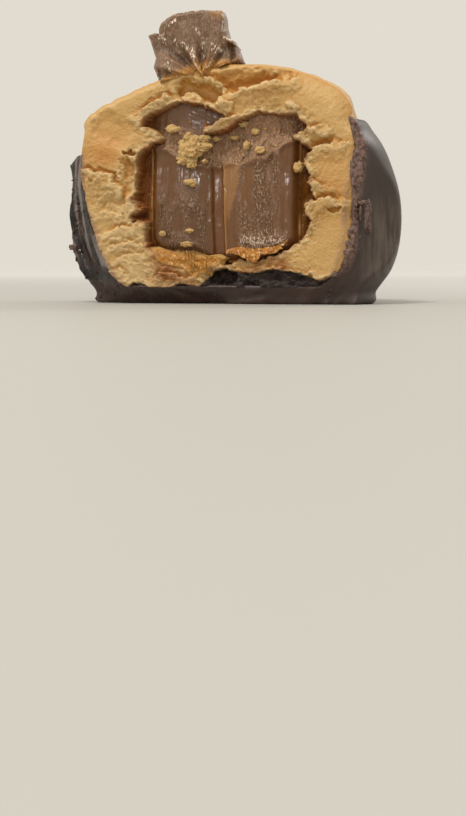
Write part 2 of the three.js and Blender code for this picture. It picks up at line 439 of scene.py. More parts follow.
def roughened(piece, mask, size, height, finish, seed=0.0):
    """The piece with a roughened surface and its finish; size and height are in millimetres."""
    return run_tree(piece, ROUGHEN, {
        "Mask": mask, "Grain size": size * MM, "Grain height": height * MM, "Seed": seed, "Finish": finish,
    })


# %% [markdown]
# The materials are procedural and read Object coordinates, in metres, or the masks stored on the
# points. Two effects are shared as shader groups: a fine grain, and the long streaks of a blade.

# %% Shader helpers and shared groups
def srgb(red, green, blue):
    """A colour as a photograph gives it, from 0 to 255, as the linear values that a shader takes."""
    values = [c / 255 for c in (red, green, blue)]
    return (*[c / 12.92 if c <= 0.04045 else ((c + 0.055) / 1.055) ** 2.4 for c in values], 1)


def grain_group():
    tree, given, result = shader_group("fine_grain", {"Size": 0.0004}, ["Height", "Patches"])
    place = object_place(tree)
    scale = math_node(tree, "DIVIDE", 1.0, given.outputs["Size"])
    fine = node(tree, "ShaderNodeTexNoise", {
        "Vector": place, "Scale": scale, "Detail": 4.0, "Roughness": 0.65,
    })
    coarse = math_node(tree, "MULTIPLY", scale, 0.14)
    patches = node(tree, "ShaderNodeTexNoise", {"Vector": place, "Scale": coarse, "Detail": 3.0})
    tree.links.new(fine.outputs[0], result.inputs["Height"])
    tree.links.new(patches.outputs[0], result.inputs["Patches"])
    return tree


def streak_group():
    tree, given, result = shader_group("blade_streaks", {"Width": 0.0002, "Length": 0.004}, ["Height"])
    across = math_node(tree, "DIVIDE", 1.0, given.outputs["Width"])
    along = math_node(tree, "DIVIDE", 1.0, given.outputs["Length"])
    scales = node(tree, "ShaderNodeCombineXYZ", {0: across, 1: along, 2: along}).outputs[0]
    stretched = node(tree, "ShaderNodeVectorMath", {
        0: object_place(tree), 1: scales,
    }, operation="MULTIPLY").outputs[0]
    lines = node(tree, "ShaderNodeTexNoise", {
        "Vector": stretched, "Scale": 1.0, "Detail": 3.0, "Roughness": 0.6,
    })
    tree.links.new(lines.outputs[0], result.inputs["Height"])
    return tree


GRAIN = grain_group()
STREAKS = streak_group()


def new_material(name):
    """A new material, its tree and its Principled BSDF."""
    material = bpy.data.materials.new(name)
    material.use_nodes = True
    tree = material.node_tree
    return material, tree, tree.nodes["Principled BSDF"]


def use_group(tree, group, **inputs):
    """A shared group in a material, with values of its own."""
    return node(tree, "ShaderNodeGroup", inputs, node_tree=group)


def mask_of(tree, name):
    """A number that was stored on the points, for a material."""
    return node(tree, "ShaderNodeAttribute", attribute_name=name).outputs["Fac"]


def blend(tree, share, first, second):
    """A colour that goes from the first to the second as the share goes from 0 to 1."""
    return node(tree, "ShaderNodeMix", {0: share, 6: first, 7: second}, data_type="RGBA").outputs[2]


def span(tree, value, low, high, to_low=0.0, to_high=1.0):
    """The value's range from low to high, mapped to another range and held at its ends."""
    return node(tree, "ShaderNodeMapRange", {0: value, 1: low, 2: high, 3: to_low, 4: to_high}).outputs[0]


def tinted(tree, colour, mask, much, tint, low=0.0, high=1.0):
    """The colour with a tint where a stored mask says so."""
    return blend(tree, span(tree, mask_of(tree, mask), low, high, 0.0, much), colour, tint)


def painted_light_flecks(tree, colour, height, low, high, much, mask, tint):
    """Painted light: flecks of a pale tint where the height is above low, as much as a stored mask says."""
    light_flecks = span(tree, height, low, high, 0.0, much)
    return blend(tree, math_node(tree, "MULTIPLY", light_flecks, mask_of(tree, mask)), colour, tint)


def bump(tree, height, distance, normal=None):
    """A normal raised by the height, on top of another normal if there is one."""
    made = node(tree, "ShaderNodeBump", {"Strength": 1.0, "Distance": distance, "Height": height})
    if normal is not None:
        tree.links.new(normal, made.inputs["Normal"])
    return made.outputs["Normal"]


def feed(tree, surface, links, values=None):
    """Links what varies to the surface's sockets and sets what doesn't."""
    for label, source in links.items():
        tree.links.new(source, surface.inputs[label])
    for label, value in (values or {}).items():
        surface.inputs[label].default_value = value


def glaze(tree, surface, colour, gloss, normal, values):
    """Feeds a caramel's surface, whose clear coat has the same normal as its body."""
    links = {"Base Color": colour, "Roughness": gloss, "Normal": normal, "Coat Normal": normal}
    feed(tree, surface, links, values)


# %% [markdown]
# The dough's face is the heart of the picture. A knife smeared it smooth on the outside, and where it
# was dragged off the caramel it tore into ledges, ridges and crumbs. The large features are drawn as
# strokes and one outline, in millimetres on the face, X to the right and Z up. Between them, noise makes
# the crumble.

# %% What the knife left on the dough
OPENING = [
    (-10.3, 22.2), (-9.3, 22.8), (-7.9, 23.4), (-6.5, 23.9), (-5.3, 24.2), (-3.6, 24), (-2, 23.3),
    (-0.4, 22.5), (-1.4, 21.8), (-2.7, 21.1), (-3.1, 20.6), (-2.7, 20.3), (-1.1, 20.6), (0.3, 21.2),
    (1.4, 21.9), (2.8, 22.3), (3.9, 22.7), (5.5, 22.6), (7.2, 22.4), (8.5, 22.1), (9.5, 21.3),
    (9.7, 20.7), (8.9, 20.4), (7.9, 19.8), (8.5, 19.3), (9.6, 18.8), (10.3, 18.2), (9.6, 17.2),
    (9.6, 16.1), (10.2, 15.1), (9.9, 14.2), (10.6, 12.6), (9.8, 12), (9.3, 11.2), (10.1, 10.4),
    (10.4, 9.9), (9.5, 8.2), (8.6, 7.3), (6.9, 6.3), (4.2, 5.4), (1.4, 5.3), (-0.3, 4.8), (-2, 5),
    (-4.3, 5.5), (-6.5, 5.9), (-8.8, 6.1), (-10, 6.8), (-10.1, 8), (-9.9, 9.8), (-11.5, 10.1),
    (-12, 10.5), (-10.7, 11.1), (-11.8, 12.9), (-11.4, 13.5), (-11.5, 14.8), (-11.2, 15.9), (-11.3, 17),
    (-11.1, 17.8), (-10.3, 18.7), (-9.3, 19.3), (-8, 19.7), (-7.7, 20.1), (-8.5, 20.9), (-9.6, 21.3),
    (-10.5, 21.6),
]
# Each ledge: how far it stands out and how wide it slopes, how deep and wide its hollow is, its line.
LEDGES = [
    (0.75, 1.7, 0.2, 0.7, [(-11.2, 23.2), (-9.7, 24), (-8.7, 24.5), (-7.3, 25.2), (-6.2, 24.6)]),
    (0.5, 1.7, 0, 1, [(-10.4, 22), (-9.3, 21.6), (-8.4, 20.9), (-7.7, 20)]),
    (0.6, 1.1, 0.3, 1.2, [(-3.4, 27), (-1.5, 27), (-0.7, 26.3), (0.5, 25.1)]),
    (0.65, 2.3, 0.9, 1.7, [(0, 24.9), (1.6, 25.3), (2.8, 25.7), (4, 26.1), (5.3, 26.3), (7.4, 26.6)]),
    (0.5, 1, 0, 1, [(-3, 20.8), (-2.1, 21.5), (-0.2, 22.3), (2, 22.9)]),
    (0.6, 1.5, 0.2, 0.8, [(7.7, 19.8), (8.9, 20.8), (10, 20.9), (12, 20.9)]),
    (0.55, 2.6, 0.85, 1, [(9.4, 16.6), (9.8, 17.4), (10.8, 18.5), (11.9, 19), (13.4, 19.1)]),
    (0.4, 1.3, 0.2, 0.6, [(9.4, 13.4), (9.9, 14.3), (10.8, 14.4), (12.4, 14)]),
    (0.65, 2.6, 0.35, 0.8, [
        (9.1, 10.6), (9.4, 11.5), (10.05, 12.5), (11.3, 12.3), (12.2, 12.7), (14.2, 12.5),
    ]),
    (0.5, 3.2, 0.4, 0.6, [
        (-18.6, 16.5), (-16.3, 15.9), (-15, 16.2), (-14.1, 15.6), (-14.2, 14.8), (-13.4, 14.7),
        (-12.9, 13.6), (-12.9, 12),
    ]),
    (0.7, 1.9, 0.5, 0.8, [(-13.6, 11.6), (-12.5, 12.6), (-11.8, 12.8), (-11.2, 12.2), (-11, 11)]),
    (0.75, 1.7, 0.45, 0.7, [
        (-15.6, 8.8), (-13.5, 9.3), (-11.9, 9.4), (-11.8, 10.1), (-11.3, 9.5), (-10.5, 9.5),
        (-9.2, 9.3),
    ]),
    (0.3, 1.4, 0.15, 0.5, [(-16.6, 11), (-14.9, 11.4), (-12.9, 11)]),
    (0.5, 1.3, 0.3, 0.6, [(-15.2, 7), (-13, 7.5), (-11.2, 7.2), (-9.8, 7.6)]),
    (0.45, 1.3, 0.25, 0.6, [(-14.2, 5.3), (-12.7, 5.9), (-11.4, 6.1), (-9.6, 5.4)]),
    (0.65, 2, 0.3, 0.6, [(-16, 2.8), (-14.7, 4.2), (-13.2, 4.1), (-12.2, 3)]),
    (0.45, 1.4, 0.2, 0.7, [(-9.6, 3.3), (-7.4, 3.8), (-5, 3.3), (-3, 3.9)]),
    (0.3, 1.6, 0.1, 0.6, [(2, 4.2), (5, 4.6), (8, 4.3), (11, 3.6)]),
]
# Each lump, and each dent: half its width, how high or deep it is, its line.
LUMPS = [
    (0.62, 0.95, [(-5, 25), (-4.1, 24.7), (-3.3, 24.2)]),
    (0.5, 0.4, [(7.7, 23.7), (8.6, 23.1)]),
    (0.7, 0.4, [(-0.9, 24.2), (0.2, 23.5)]),
]
DENTS = [
    (1.2, 1.2, [(-5.3, 25.8), (-1.9, 25)]),
    (1.3, 0.6, [(0.2, 26.7), (4.6, 27)]),
    (2.1, 0.4, [(-15.4, 21.6), (-13.9, 20.9)]),
    (1, 0.9, [(-12.3, 16.8), (-12, 13.9)]),
    (0.3, 0.8, [(-12.8, 18.15), (-11.6, 18.3)]),
    (0.4, 0.6, [(12.8, 11.2), (13.9, 11.3)]),
    (1, 1.6, [(-1.7, 3.3), (0.3, 3.3)]),
]
BLOCK = [
    (-20, 16.3), (-17.7, 16.3), (-14.4, 16.1), (-14.2, 15), (-13.2, 14.9), (-12.8, 12.9), (-11, 12.7),
    (-9.5, 9), (-9.5, 6.2), (7, 4.6), (13, 3.5), (13, -1), (-20, -1),
]
POCKET = 3.8
UNDERSIDE = [
    (-20, 1.5), (-15.2, 2.2), (-14.4, 1.8), (-13, 1.5), (-11.9, 2.5), (-10.8, 2.5), (-9.3, 1.8),
    (-7, 1.9), (-5.8, 2.5), (-3.4, 2.1), (-2.5, 3), (-1.7, 4), (-0.2, 4.3), (1, 3.9), (3.2, 3.7),
    (5, 4.1), (6.5, 4.2), (9.2, 3.8), (11.4, 2.8), (13, 3.4), (20, 3.4),
]


def under_dough(x, z):
    """1 below the dough's ragged lower edge, where chocolate shows, and 0 above it."""
    return ease(0.15, -0.15, z - np.interp(x, *np.array(UNDERSIDE).T))


def dough_relief(x, z, inland):
    """Depth behind the plane of the cut, and how torn the dough is; inland is the way to its outline."""
    # Every drawn line is read through a little noise, so that none stays straight.
    stray_x = 0.2 * rough(x / 1.5, z / 1.5, 31, 2) + 0.2 * rough(x / 0.45, z / 0.45, 32, 2)
    stray_z = 0.2 * rough(x / 1.5, z / 1.5, 37, 2) + 0.2 * rough(x / 0.45, z / 0.45, 38, 2)
    sx, sz = x + stray_x, z + stray_z
    edge = from_outline(sx, sz, OPENING)
    block = ease(0.12, -0.12, from_outline(sx, sz, BLOCK))
    torn = np.maximum(ease(2, 0.4, edge), 0.85 * block)
    plates = z * 0.52 + 0.8 * rough(x / 3.4, z / 3, 41, 4)
    step = 1 - (plates - np.floor(plates))
    broken = 0.1 * rough(x / 0.5, z / 0.42, 9, 2) + 0.14 * grains(x / 0.75, z / 0.62, 8) ** 2
    soft = 0.22 * rough(x / 3, z / 2.4, 5, 2) + 0.04 * rough(x / 1.1, z / 0.9, 6)
    depth = 0.45 + 0.16 * noise(x / 5, z / 5, 1) + 0.04 * rough(x / 1.6, z / 1.6, 3)
    low_left = 1 - 0.6 * ease(-8, -11, x) * ease(15, 12, z)
    depth = depth + torn * (0.06 + soft + low_left * broken) + block * (0.13 * step - 0.15)
    # The drawn features, on top of the crumble.
    for half, deep, line in DENTS:
        depth = depth + deep * ease(1.25, 0.3, from_stroke(sx, sz, line) / half)
    for high, fall, deep, reach, line in LEDGES:
        side, fade = across_line(sx, sz, line)
        proud = ease(-0.08, 0.06, side) * ease(fall, 0, side)
        sunk = ease(0.08, -0.06, side) * ease(reach, 0.1, -side)
        depth = depth + low_left * fade * (deep * sunk - high * proud)
        torn = np.maximum(torn, 0.8 * fade * ease(fall, 0.3, np.abs(side)))
    for half, high, line in LUMPS:
        on_lump = ease(1.1, 0.7, from_stroke(sx, sz, line) / half)
        depth = depth - on_lump * high
        torn = np.maximum(torn, on_lump)
    # The dome's edge is rounded, the low edge falls away, and the pocket's wall goes straight in.
    bare = ease(20, 23, z)
    round_off = 0.9 + 1.7 * ease(4, 9, x)
    depth = depth + bare * (0.7 + 0.5 * ease(4, 9, x)) * np.clip(1 - inland / round_off, 0, 1) ** 2
    depth = depth + (0.5 + 0.5 * rough(x / 0.9, z / 0.8, 61)) * under_dough(sx, sz)
    depth = np.maximum(depth, -0.35)
    wall = ease(0.2, -0.35, edge)
    return depth * (1 - wall) + (POCKET + soft) * wall, np.maximum(torn, ease(0.2, -0.2, edge))


# %% [markdown]
# Peanut butter dough is painted pale tan where it stands proud and golden in its hollows: partly the oil
# that gathers there, and partly painted highlight on the proud parts and painted shade and bounce light in
# the hollows. It lets light in a little way, so it gets some subsurface scattering, and it is matt where
# it tore and faintly oily where the knife smeared it.

# %% The dough's material
def dough_material():
    material, tree, surface = new_material("peanut_butter_dough_finish")
    grain = use_group(tree, GRAIN, Size=0.00032)
    pores = use_group(tree, GRAIN, Size=0.0006)
    torn, hollow = mask_of(tree, "torn"), mask_of(tree, "hollow")
    colour = blend(tree, pores.outputs["Patches"], srgb(196, 160, 101), srgb(180, 142, 82))
    # Painted highlight and painted shade: paler where the dough stands proud, golden in its hollows, partly
    # oil.
    colour = blend(tree, span(tree, hollow, 0.42, 0.12, 0.0, 0.6), colour, srgb(214, 184, 136))
    colour = blend(tree, span(tree, hollow, 0.42, 0.95), colour, srgb(178, 120, 46))
    colour = blend(tree, span(tree, torn, 0.0, 0.5, 0.35, 0.0), colour, srgb(186, 144, 76))
    specks = span(tree, grain.outputs["Height"], 0.66, 0.72, 0.0, 0.4)
    colour = blend(tree, specks, colour, srgb(150, 98, 50))
    colour = blend(tree, mask_of(tree, "stained"), colour, srgb(140, 78, 18))
    colour = tinted(tree, colour, "rind", 0.8, srgb(138, 104, 88), 0.3)
    colour = blend(tree, mask_of(tree, "smeared"), colour, srgb(48, 34, 27))
    skin = math_node(tree, "MULTIPLY", grain.outputs["Patches"], span(tree, torn, 0.1, 0.5, 1, 0))
    skin = bump(tree, skin, 0.0002, bump(tree, grain.outputs["Height"], 0.00013))
    crumbly = math_node(tree, "MULTIPLY", pores.outputs["Height"], span(tree, torn, 0, 0.6, 0.3, 1))
    feed(tree, surface, {
        "Base Color": colour, "Roughness": span(tree, torn, 0.0, 0.8, 0.42, 0.66),
        "Normal": bump(tree, crumbly, 0.00036, skin),
    }, {
        "Subsurface Weight": 0.25, "Subsurface Radius": (0.8, 0.6, 0.3), "Subsurface Scale": 0.0008,
    })
    return material


DOUGH_FINISH = dough_material()

# %% [markdown]
# The dough's outline on the face is where the turned body meets the plane of the cut. Rays from a
# point inside the body find it, by halving: a step is kept while its end is still inside. The same rays,
# swung backwards, find the dome and the sides.

# %% The ball of dough
AROUND = 760
FACE_RINGS = 88
BACK_RINGS = 30
HEART = (0, -CUT, 13)
HALVINGS = 26
DOUGH_RIM = []
# Patches painted golden and darker, partly oil and partly painted shade, and paler ones as painted
# light: the middle, half the width and height, how much they darken.
SHADE_PATCHES = [
    ((-15.4, 18.6), (2.8, 2.2), 0.5), ((1, 26.6), (6, 1.5), 0.5), ((13, 14), (2.2, 4), 0.25),
    ((-13, 9), (4, 5), -0.25), ((-9, 3.4), (6, 2), -0.3),
]


def inside_dough(x, y, z):
    side = curve_through(DOUGH_SECTION, 200)
    return (z > BASE_COAT) & (z < side[-1, 1]) & (np.hypot(x, y) < np.interp(z, side[:, 1], side[:, 0]))


def cast(inside, start, way, reach=60):
    """The last point inside the body, going from the start along each way."""
    t = np.zeros(way.shape[:-1])
    step = reach / 2
    for _ in range(HALVINGS):
        further = np.asarray(start) + (t + step)[..., None] * way
        t = np.where(inside(*np.moveaxis(further, -1, 0)), t + step, t)
        step /= 2
    return np.asarray(start) + t[..., None] * way


def make_dough():
    out = directions(AROUND)[1]
    swing = np.linspace(0, math.pi / 2, BACK_RINGS + 1)[:-1] ** 1.15 / (math.pi / 2) ** 0.15
    way = np.cos(swing)[:, None, None] * out + np.sin(swing)[:, None, None] * np.array([0, 1, 0])
    hit = cast(inside_dough, HEART, way)
    back = settle(*np.moveaxis(hit, -1, 0), DOUGH_PINCH)
    pole = settle(*cast(inside_dough, HEART, np.array([[0.0, 1.0, 0.0]]))[0], DOUGH_PINCH)
    middle = settle(*HEART, DOUGH_PINCH)
    burr = 0.1 * rough(back[0, :, 0] / 0.7, back[0, :, 2] / 0.7, 59, 3) * ease(18, 21, back[0, :, 2])
    back[0] += burr[:, None] * out
    rim = back[0]
    DOUGH_RIM.extend(map(tuple, rim[::8, ::2].tolist()))
    shares = np.concatenate([np.linspace(0.03, 0.42, 5), np.linspace(0.47, 1, FACE_RINGS)])
    front, inland = face_net(middle, rim, shares)
    x, z = front[..., 0], front[..., 2]
    depth, torn = dough_relief(x, z, inland)
    front[..., 1] = FACE_Y + depth
    along = (np.arange(BACK_RINGS) / BACK_RINGS)[1:, None]
    back = back[1:]
    back[..., 1] += depth[-1] * (1 - along) ** 6
    away = (back - middle) / np.linalg.norm(back - middle, axis=-1, keepdims=True)
    bare = ease(21.5, 25, back[..., 2]) * ease(0, 0.15, along)
    dents = 0.2 * rough(back[..., 0] / 5, back[..., 1] / 5, 57)
    dents = dents + 0.06 * rough(back[..., 0], back[..., 1], 58)
    back += (bare * dents)[..., None] * away
    centre = (middle[0], FACE_Y + POCKET, middle[2])
    dough = ringed("dough_ball", centre, np.concatenate([front, back]), pole)
    # Painted shade and painted light from the patches, added to the hollow mask.
    patch_shade = sum(
        much * np.exp(-(((x - at_x) / half_x) ** 2) - ((z - at_z) / half_z) ** 2)
        for (at_x, at_z), (half_x, half_z), much in SHADE_PATCHES
    )
    # A hollow mask from the depth less its blurred depth: it paints shade in the hollows and light on the
    # proud parts.
    fine_hollow_shade = (depth - blurred(depth, 8)) / 0.5
    hollow = np.clip(0.5 + (depth - blurred(depth, 40)) / 1.1 + fine_hollow_shade + patch_shade, 0, 1)
    low = ease(-10.5, -8.5, x) * ease(9, 6.5, x) * ease(7.4, 5.4, z)
    low *= ease(1.6, 3, z) * (0.5 + 0.5 * rough(x / 2.5, z / 1.6, 51))
    stained = np.maximum(ease(0.6, -0.3, from_outline(x, z, OPENING)), np.clip(low, 0, 1))
    rind = ease(1.5, 0, inland) ** 2 * ease(20, 17, z) * (0.7 + 0.3 * rough(x / 2, z / 2, 53))
    smeared = under_dough(x, z)
    for name, values, rest in [
        ("torn", torn, 0.12), ("hollow", hollow, 0.5), ("stained", stained, 0), ("rind", rind, 0),
        ("smeared", smeared, 0),
    ]:
        give_rings(dough, name, np.concatenate([values, np.full(back.shape[:2], rest)]))
    return roughened(dough, "torn", 0.34, 0.24, DOUGH_FINISH)


dough = make_dough()
print("dough_ball has", len(dough.data.polygons), "faces")

# %% [markdown]
# Caramel is brown and faintly violet where it is thick, and turns orange at its thin edges, where light
# gets through. The blade left long streaks in it, and where it sheared it glitters: bumps catch the lamps,
# and pale flecks add painted glints. Its sheared top is painted lighter, partly as painted light, the
# lobes' sides darker as painted shade, and a painted highlight runs along its edges; the scrap's folds
# are painted darker in their hollows, as painted shade.

# %% The caramel's material
def caramel_material():
    material, tree, surface = new_material("soft_caramel_finish")
    streaks = use_group(tree, STREAKS, Width=0.00028, Length=0.004)
    sparks = use_group(tree, STREAKS, Width=0.00015, Length=0.0003)
    grain = use_group(tree, GRAIN, Size=0.0003)
    across = node(tree, "ShaderNodeSeparateXYZ", {0: object_place(tree)}).outputs[0]
    body = blend(tree, span(tree, across, -0.0015, 0.0012), srgb(99, 65, 34), srgb(108, 71, 38))
    lines = span(tree, streaks.outputs["Height"], 0.4, 0.62, 0.0, 0.4)
    body = blend(tree, lines, body, srgb(80, 50, 26))
    # The sheared top is painted lighter, partly its frosted tone and partly painted light where it faces up
    # to the lamp; the shadow mask paints shade under the dough's overhang.
    for mask, much, tint in [
        ("sheared", 0.8, srgb(168, 128, 94)), ("shadow", 0.75, srgb(96, 64, 40)),
        ("seam", 0.55, srgb(150, 108, 64)), ("groove", 0.75, srgb(108, 66, 32)),
    ]:
        body = tinted(tree, body, mask, much, tint)
    edge = mask_of(tree, "edge_way")
    # Painted shade: darker towards the lobes' sides, where they round away; then orange at the thin flange.
    body = blend(tree, span(tree, edge, 0.16, 0.36, 0.0, 0.8), body, srgb(96, 60, 30))
    body = blend(tree, span(tree, edge, 0.5, 0.58), body, srgb(140, 90, 38))
    # Painted highlight: a thin pale line along the frayed edge and along the line left of the seam.
    painted_edge_highlight = math_node(tree, "MULTIPLY", span(tree, edge, 0.45, 0.49), span(tree, edge, 0.54, 0.51))
    painted_edge_highlight = math_node(tree, "MULTIPLY", painted_edge_highlight, mask_of(tree, "frayed"))
    painted_edge_highlight = math_node(tree, "MAXIMUM", painted_edge_highlight, span(tree, mask_of(tree, "line"), 0, 1, 0, 0.7))
    body = blend(tree, painted_edge_highlight, body, srgb(176, 126, 66))
    glitter = sparks.outputs["Height"]
    # Painted glints: pale flecks where the glint mask is high, and whiter ones on the belly.
    body = painted_light_flecks(tree, body, glitter, 0.52, 0.66, 0.7, "glint", srgb(214, 190, 164))
    body = painted_light_flecks(tree, body, glitter, 0.46, 0.6, 0.85, "frost", srgb(230, 206, 184))
    gloss = span(tree, grain.outputs["Patches"], 0.35, 0.65, 0.16, 0.3)
    sparkle = math_node(tree, "MULTIPLY", glitter, mask_of(tree, "glint"))
    fine = bump(tree, streaks.outputs["Height"], 0.00004)
    glaze(tree, surface, body, gloss, bump(tree, sparkle, 0.0005, fine), {
        "Subsurface Weight": 0.2, "Subsurface Radius": (1.0, 0.4, 0.15), "Subsurface Scale": 0.0008,
        "Specular IOR Level": 0.3, "Coat Weight": 0.3, "Coat Roughness": 0.08,
    })
    return material


def scrap_material():
    material, tree, surface = new_material("torn_caramel_finish")
    grain = use_group(tree, GRAIN, Size=0.0003)
    folds = use_group(tree, GRAIN, Size=0.0011)
    sparks = use_group(tree, STREAKS, Width=0.00018, Length=0.0004)
    streaks = use_group(tree, STREAKS, Width=0.00024, Length=0.0016)
    # Painted shade: darker in the pleats' hollows, lighter on their crests.
    body = blend(tree, mask_of(tree, "pleat"), srgb(82, 52, 26), srgb(126, 94, 62))
    cloudy = span(tree, folds.outputs["Patches"], 0.35, 0.7, 0.0, 0.6)
    body = blend(tree, cloudy, body, srgb(106, 74, 46))
    body = blend(tree, mask_of(tree, "thin"), body, srgb(178, 124, 52))
    # Painted glints: pale flecks where the stored glint mask is high.
    body = painted_light_flecks(tree, body, sparks.outputs["Height"], 0.5, 0.64, 0.9, "glint", srgb(236, 218, 196))
    gloss = span(tree, grain.outputs["Patches"], 0.35, 0.65, 0.1, 0.26)
    fine = bump(tree, streaks.outputs["Height"], 0.00022, bump(tree, grain.outputs["Height"], 0.0001))
    glaze(tree, surface, body, gloss, bump(tree, folds.outputs["Height"], 0.0003, fine), {
        "Subsurface Weight": 0.3, "Subsurface Radius": (1.0, 0.45, 0.15), "Subsurface Scale": 0.0014,
        "Specular IOR Level": 0.35, "Coat Weight": 0.35, "Coat Roughness": 0.08,
    })
    return material


CARAMEL_FINISH = caramel_material()
SCRAP_FINISH = scrap_material()

# %% [markdown]
# The caramel is a soft square that the knife dragged down: two smooth lobes side by side with a groove
# between them, streaked by the blade, under a top that sheared off and sank. A recessed flange all
# round it shows the block's own translucent side.

# %% The cut caramel
CARAMEL = {"left": -9.75, "right": 8.75, "low": 5.1, "high": 24.8, "deep": 14, "round": 2.2}
FLANGE = 1.2
GROOVE = {"middle": -1.4, "half": 0.75, "lean": 0.05}
BORDER = [
    (-12, 19.2), (-8.5, 19.2), (-7.6, 18.8), (-6.4, 18), (-4.5, 17.1), (-1, 16.7), (0.5, 17.1),
    (1.8, 17), (3.2, 17.4), (4.9, 17.6), (6, 18.4), (6.9, 19.2), (7.7, 19.4), (12, 19.4),
]


def from_rectangle(x, z, left, right, low, high, corner):
    """Signed distance to a rectangle with rounded corners, negative inside."""
    qx = np.abs(x - (left + right) / 2) - (right - left) / 2 + corner
    qz = np.abs(z - (low + high) / 2) - (high - low) / 2 + corner
    return np.hypot(np.maximum(qx, 0), np.maximum(qz, 0)) + np.minimum(np.maximum(qx, qz), 0) - corner


def caramel_edge(x, z):
    """Signed distance to the outline of the lobes; the lower edge sags in the middle."""
    sag = 1.35 * ease(-1.5, -4.5, x) + 1.2 * ease(0.5, 7, x)
    sides = [CARAMEL[key] for key in ("left", "right", "low", "high", "round")]
    return from_rectangle(x, z - sag * ease(14, 6, z), *sides)


def caramel_relief(x, z):
    """Depth behind the plane of the cut, and the masks that colour the caramel."""
    edge = caramel_edge(x, z)
    border = np.interp(x, *np.array(BORDER).T) + 0.12 * rough(x / 0.8, 0 * x, 62)
    torn = ease(-0.3, 0.3, z - border)
    # The groove between the lobes, and the pale seam on its right.
    lean = GROOVE["lean"] * (16.5 - z) + 0.1 * rough(z / 2, 0 * z, 68, 3)
    off_groove = np.abs(x - GROOVE["middle"] - lean) / GROOVE["half"]
    groove = ease(1.15, 0.6, off_groove) * ease(17.5, 16.2, z)
    right_side = 1.45 - 0.15 * (16.5 - z) + 0.25 * rough(x / 0.8, z / 1.2, 69, 3)
    seam = ease(-0.7, -0.4, x - lean) * ease(0.3, -0.3, x - right_side) * ease(9, 11.5, z) * (1 - torn)
    # A thin line left of the seam: a little raised, and painted pale as a painted highlight.
    line = np.exp(-(((x - lean + 0.55) / 0.11) ** 2)) * ease(17, 16, z)
    # The two lobes, the belly where the right one bulges, and the ridge at their top.
    left = np.exp(-(np.abs((x + 5.7) / 3.3) ** 2.6))
    right = np.exp(-(np.abs((x - 4.1) / 3.5) ** 2.6))
    crown = 1.0 * np.maximum(left, 0.9 * right) - 0.35 * ease(12, 17, z)
    belly = 0.45 * np.exp(-(((z - 7.4) / 0.8) ** 2)) * ease(1, 2.2, x) * ease(8, 6.8, x)
    streaks = 0.025 * noise(x / 0.4, z / 6, 71) + 0.015 * noise(x / 0.16, z / 4, 72)
    depth = 1.35 - crown - belly + 0.45 * groove - 0.12 * seam - 0.18 * line + streaks
    depth = depth + 0.07 * rough(x / 2.2, z / 3, 73)
    ridge = np.exp(-(((z - border + 0.3) / 0.4) ** 2)) * ease(-0.6, 0.6, rough(x / 1.2, z / 3, 70, 2))
    depth = depth - 0.22 * ridge
    # The sheared top, sunk and rippled, and the slant down to the flange.
    above = np.maximum(z - border, 0)
    shadow = ease(20.2, 21.4, z) * ease(0.5, -1.5, x)
    ripples = 0.16 * rough(x / 1.8, z / 3, 74) + 0.12 * noise(x / 0.28, z / 1.3, 75)
    ripples = (ripples - 0.12 * shards(x / 0.45, z / 0.9, 76)) * (1 - 0.9 * shadow)
    depth = depth + torn * (0.6 + 0.2 * np.minimum(above, 3) + ripples)
    depth = depth + 0.95 * ease(1.2, 0, -edge) ** 2 * (1 - torn)
    slant = np.maximum(edge, 0)
    depth = depth + 1.3 * slant * (1 - 0.6 * torn) + 0.08 * (slant > 0) * rough(x / 0.7, z / 0.7, 77)
    # Frayed marks where the edge bead stands out and where a painted highlight runs along it.
    frayed = ease(-0.5, 0.5, rough(x / 1.1, z / 1.5, 79, 2))
    depth = depth - 0.12 * frayed * np.exp(-((edge / 0.14) ** 2)) * (1 - torn)
    # Where it glitters: the glint mask raises the bump and paints pale flecks, as painted glints;
    # the belly gets a whiter band of painted glitter.
    patches = ease(-0.7, 0.3, rough(x, z / 3.2, 78, 2))
    rippled = 0.8 * patches * ease(0.9, 2.4, x) * ease(7, 5.6, x) * ease(7, 9, z)
    rippled = rippled + 0.6 * patches * ease(-8.6, -7.8, x) * ease(-2.2, -3, x) * ease(15, 11, z)
    rippled = rippled + np.exp(-(((x + 8.1) / 0.35) ** 2 + ((z - 11.2) / 1.6) ** 2))
    flange = ease(0.1, 0.35, edge) * ease(20, 18, z) * frayed
    glint = torn * (0.6 + 0.4 * ease(4, 0.3, above)) * (1 - shadow)
    glint = np.clip(glint + 2.4 * belly + (1 - torn) * rippled + 0.7 * flange, 0, 1)
    return depth, {
        "sheared": torn,
        "groove": groove,
        "frayed": 0.7 * frayed * (1 - torn),
        "frost": np.clip(2.6 * belly - 0.2, 0, 1),
        "seam": np.clip(seam, 0, 1),
        "glint": glint,
        "shadow": shadow,
        "line": np.clip(line * ease(5.5, 7, z), 0, 1),
        "edge_way": np.clip(0.5 + edge / 4, 0, 1),
    }


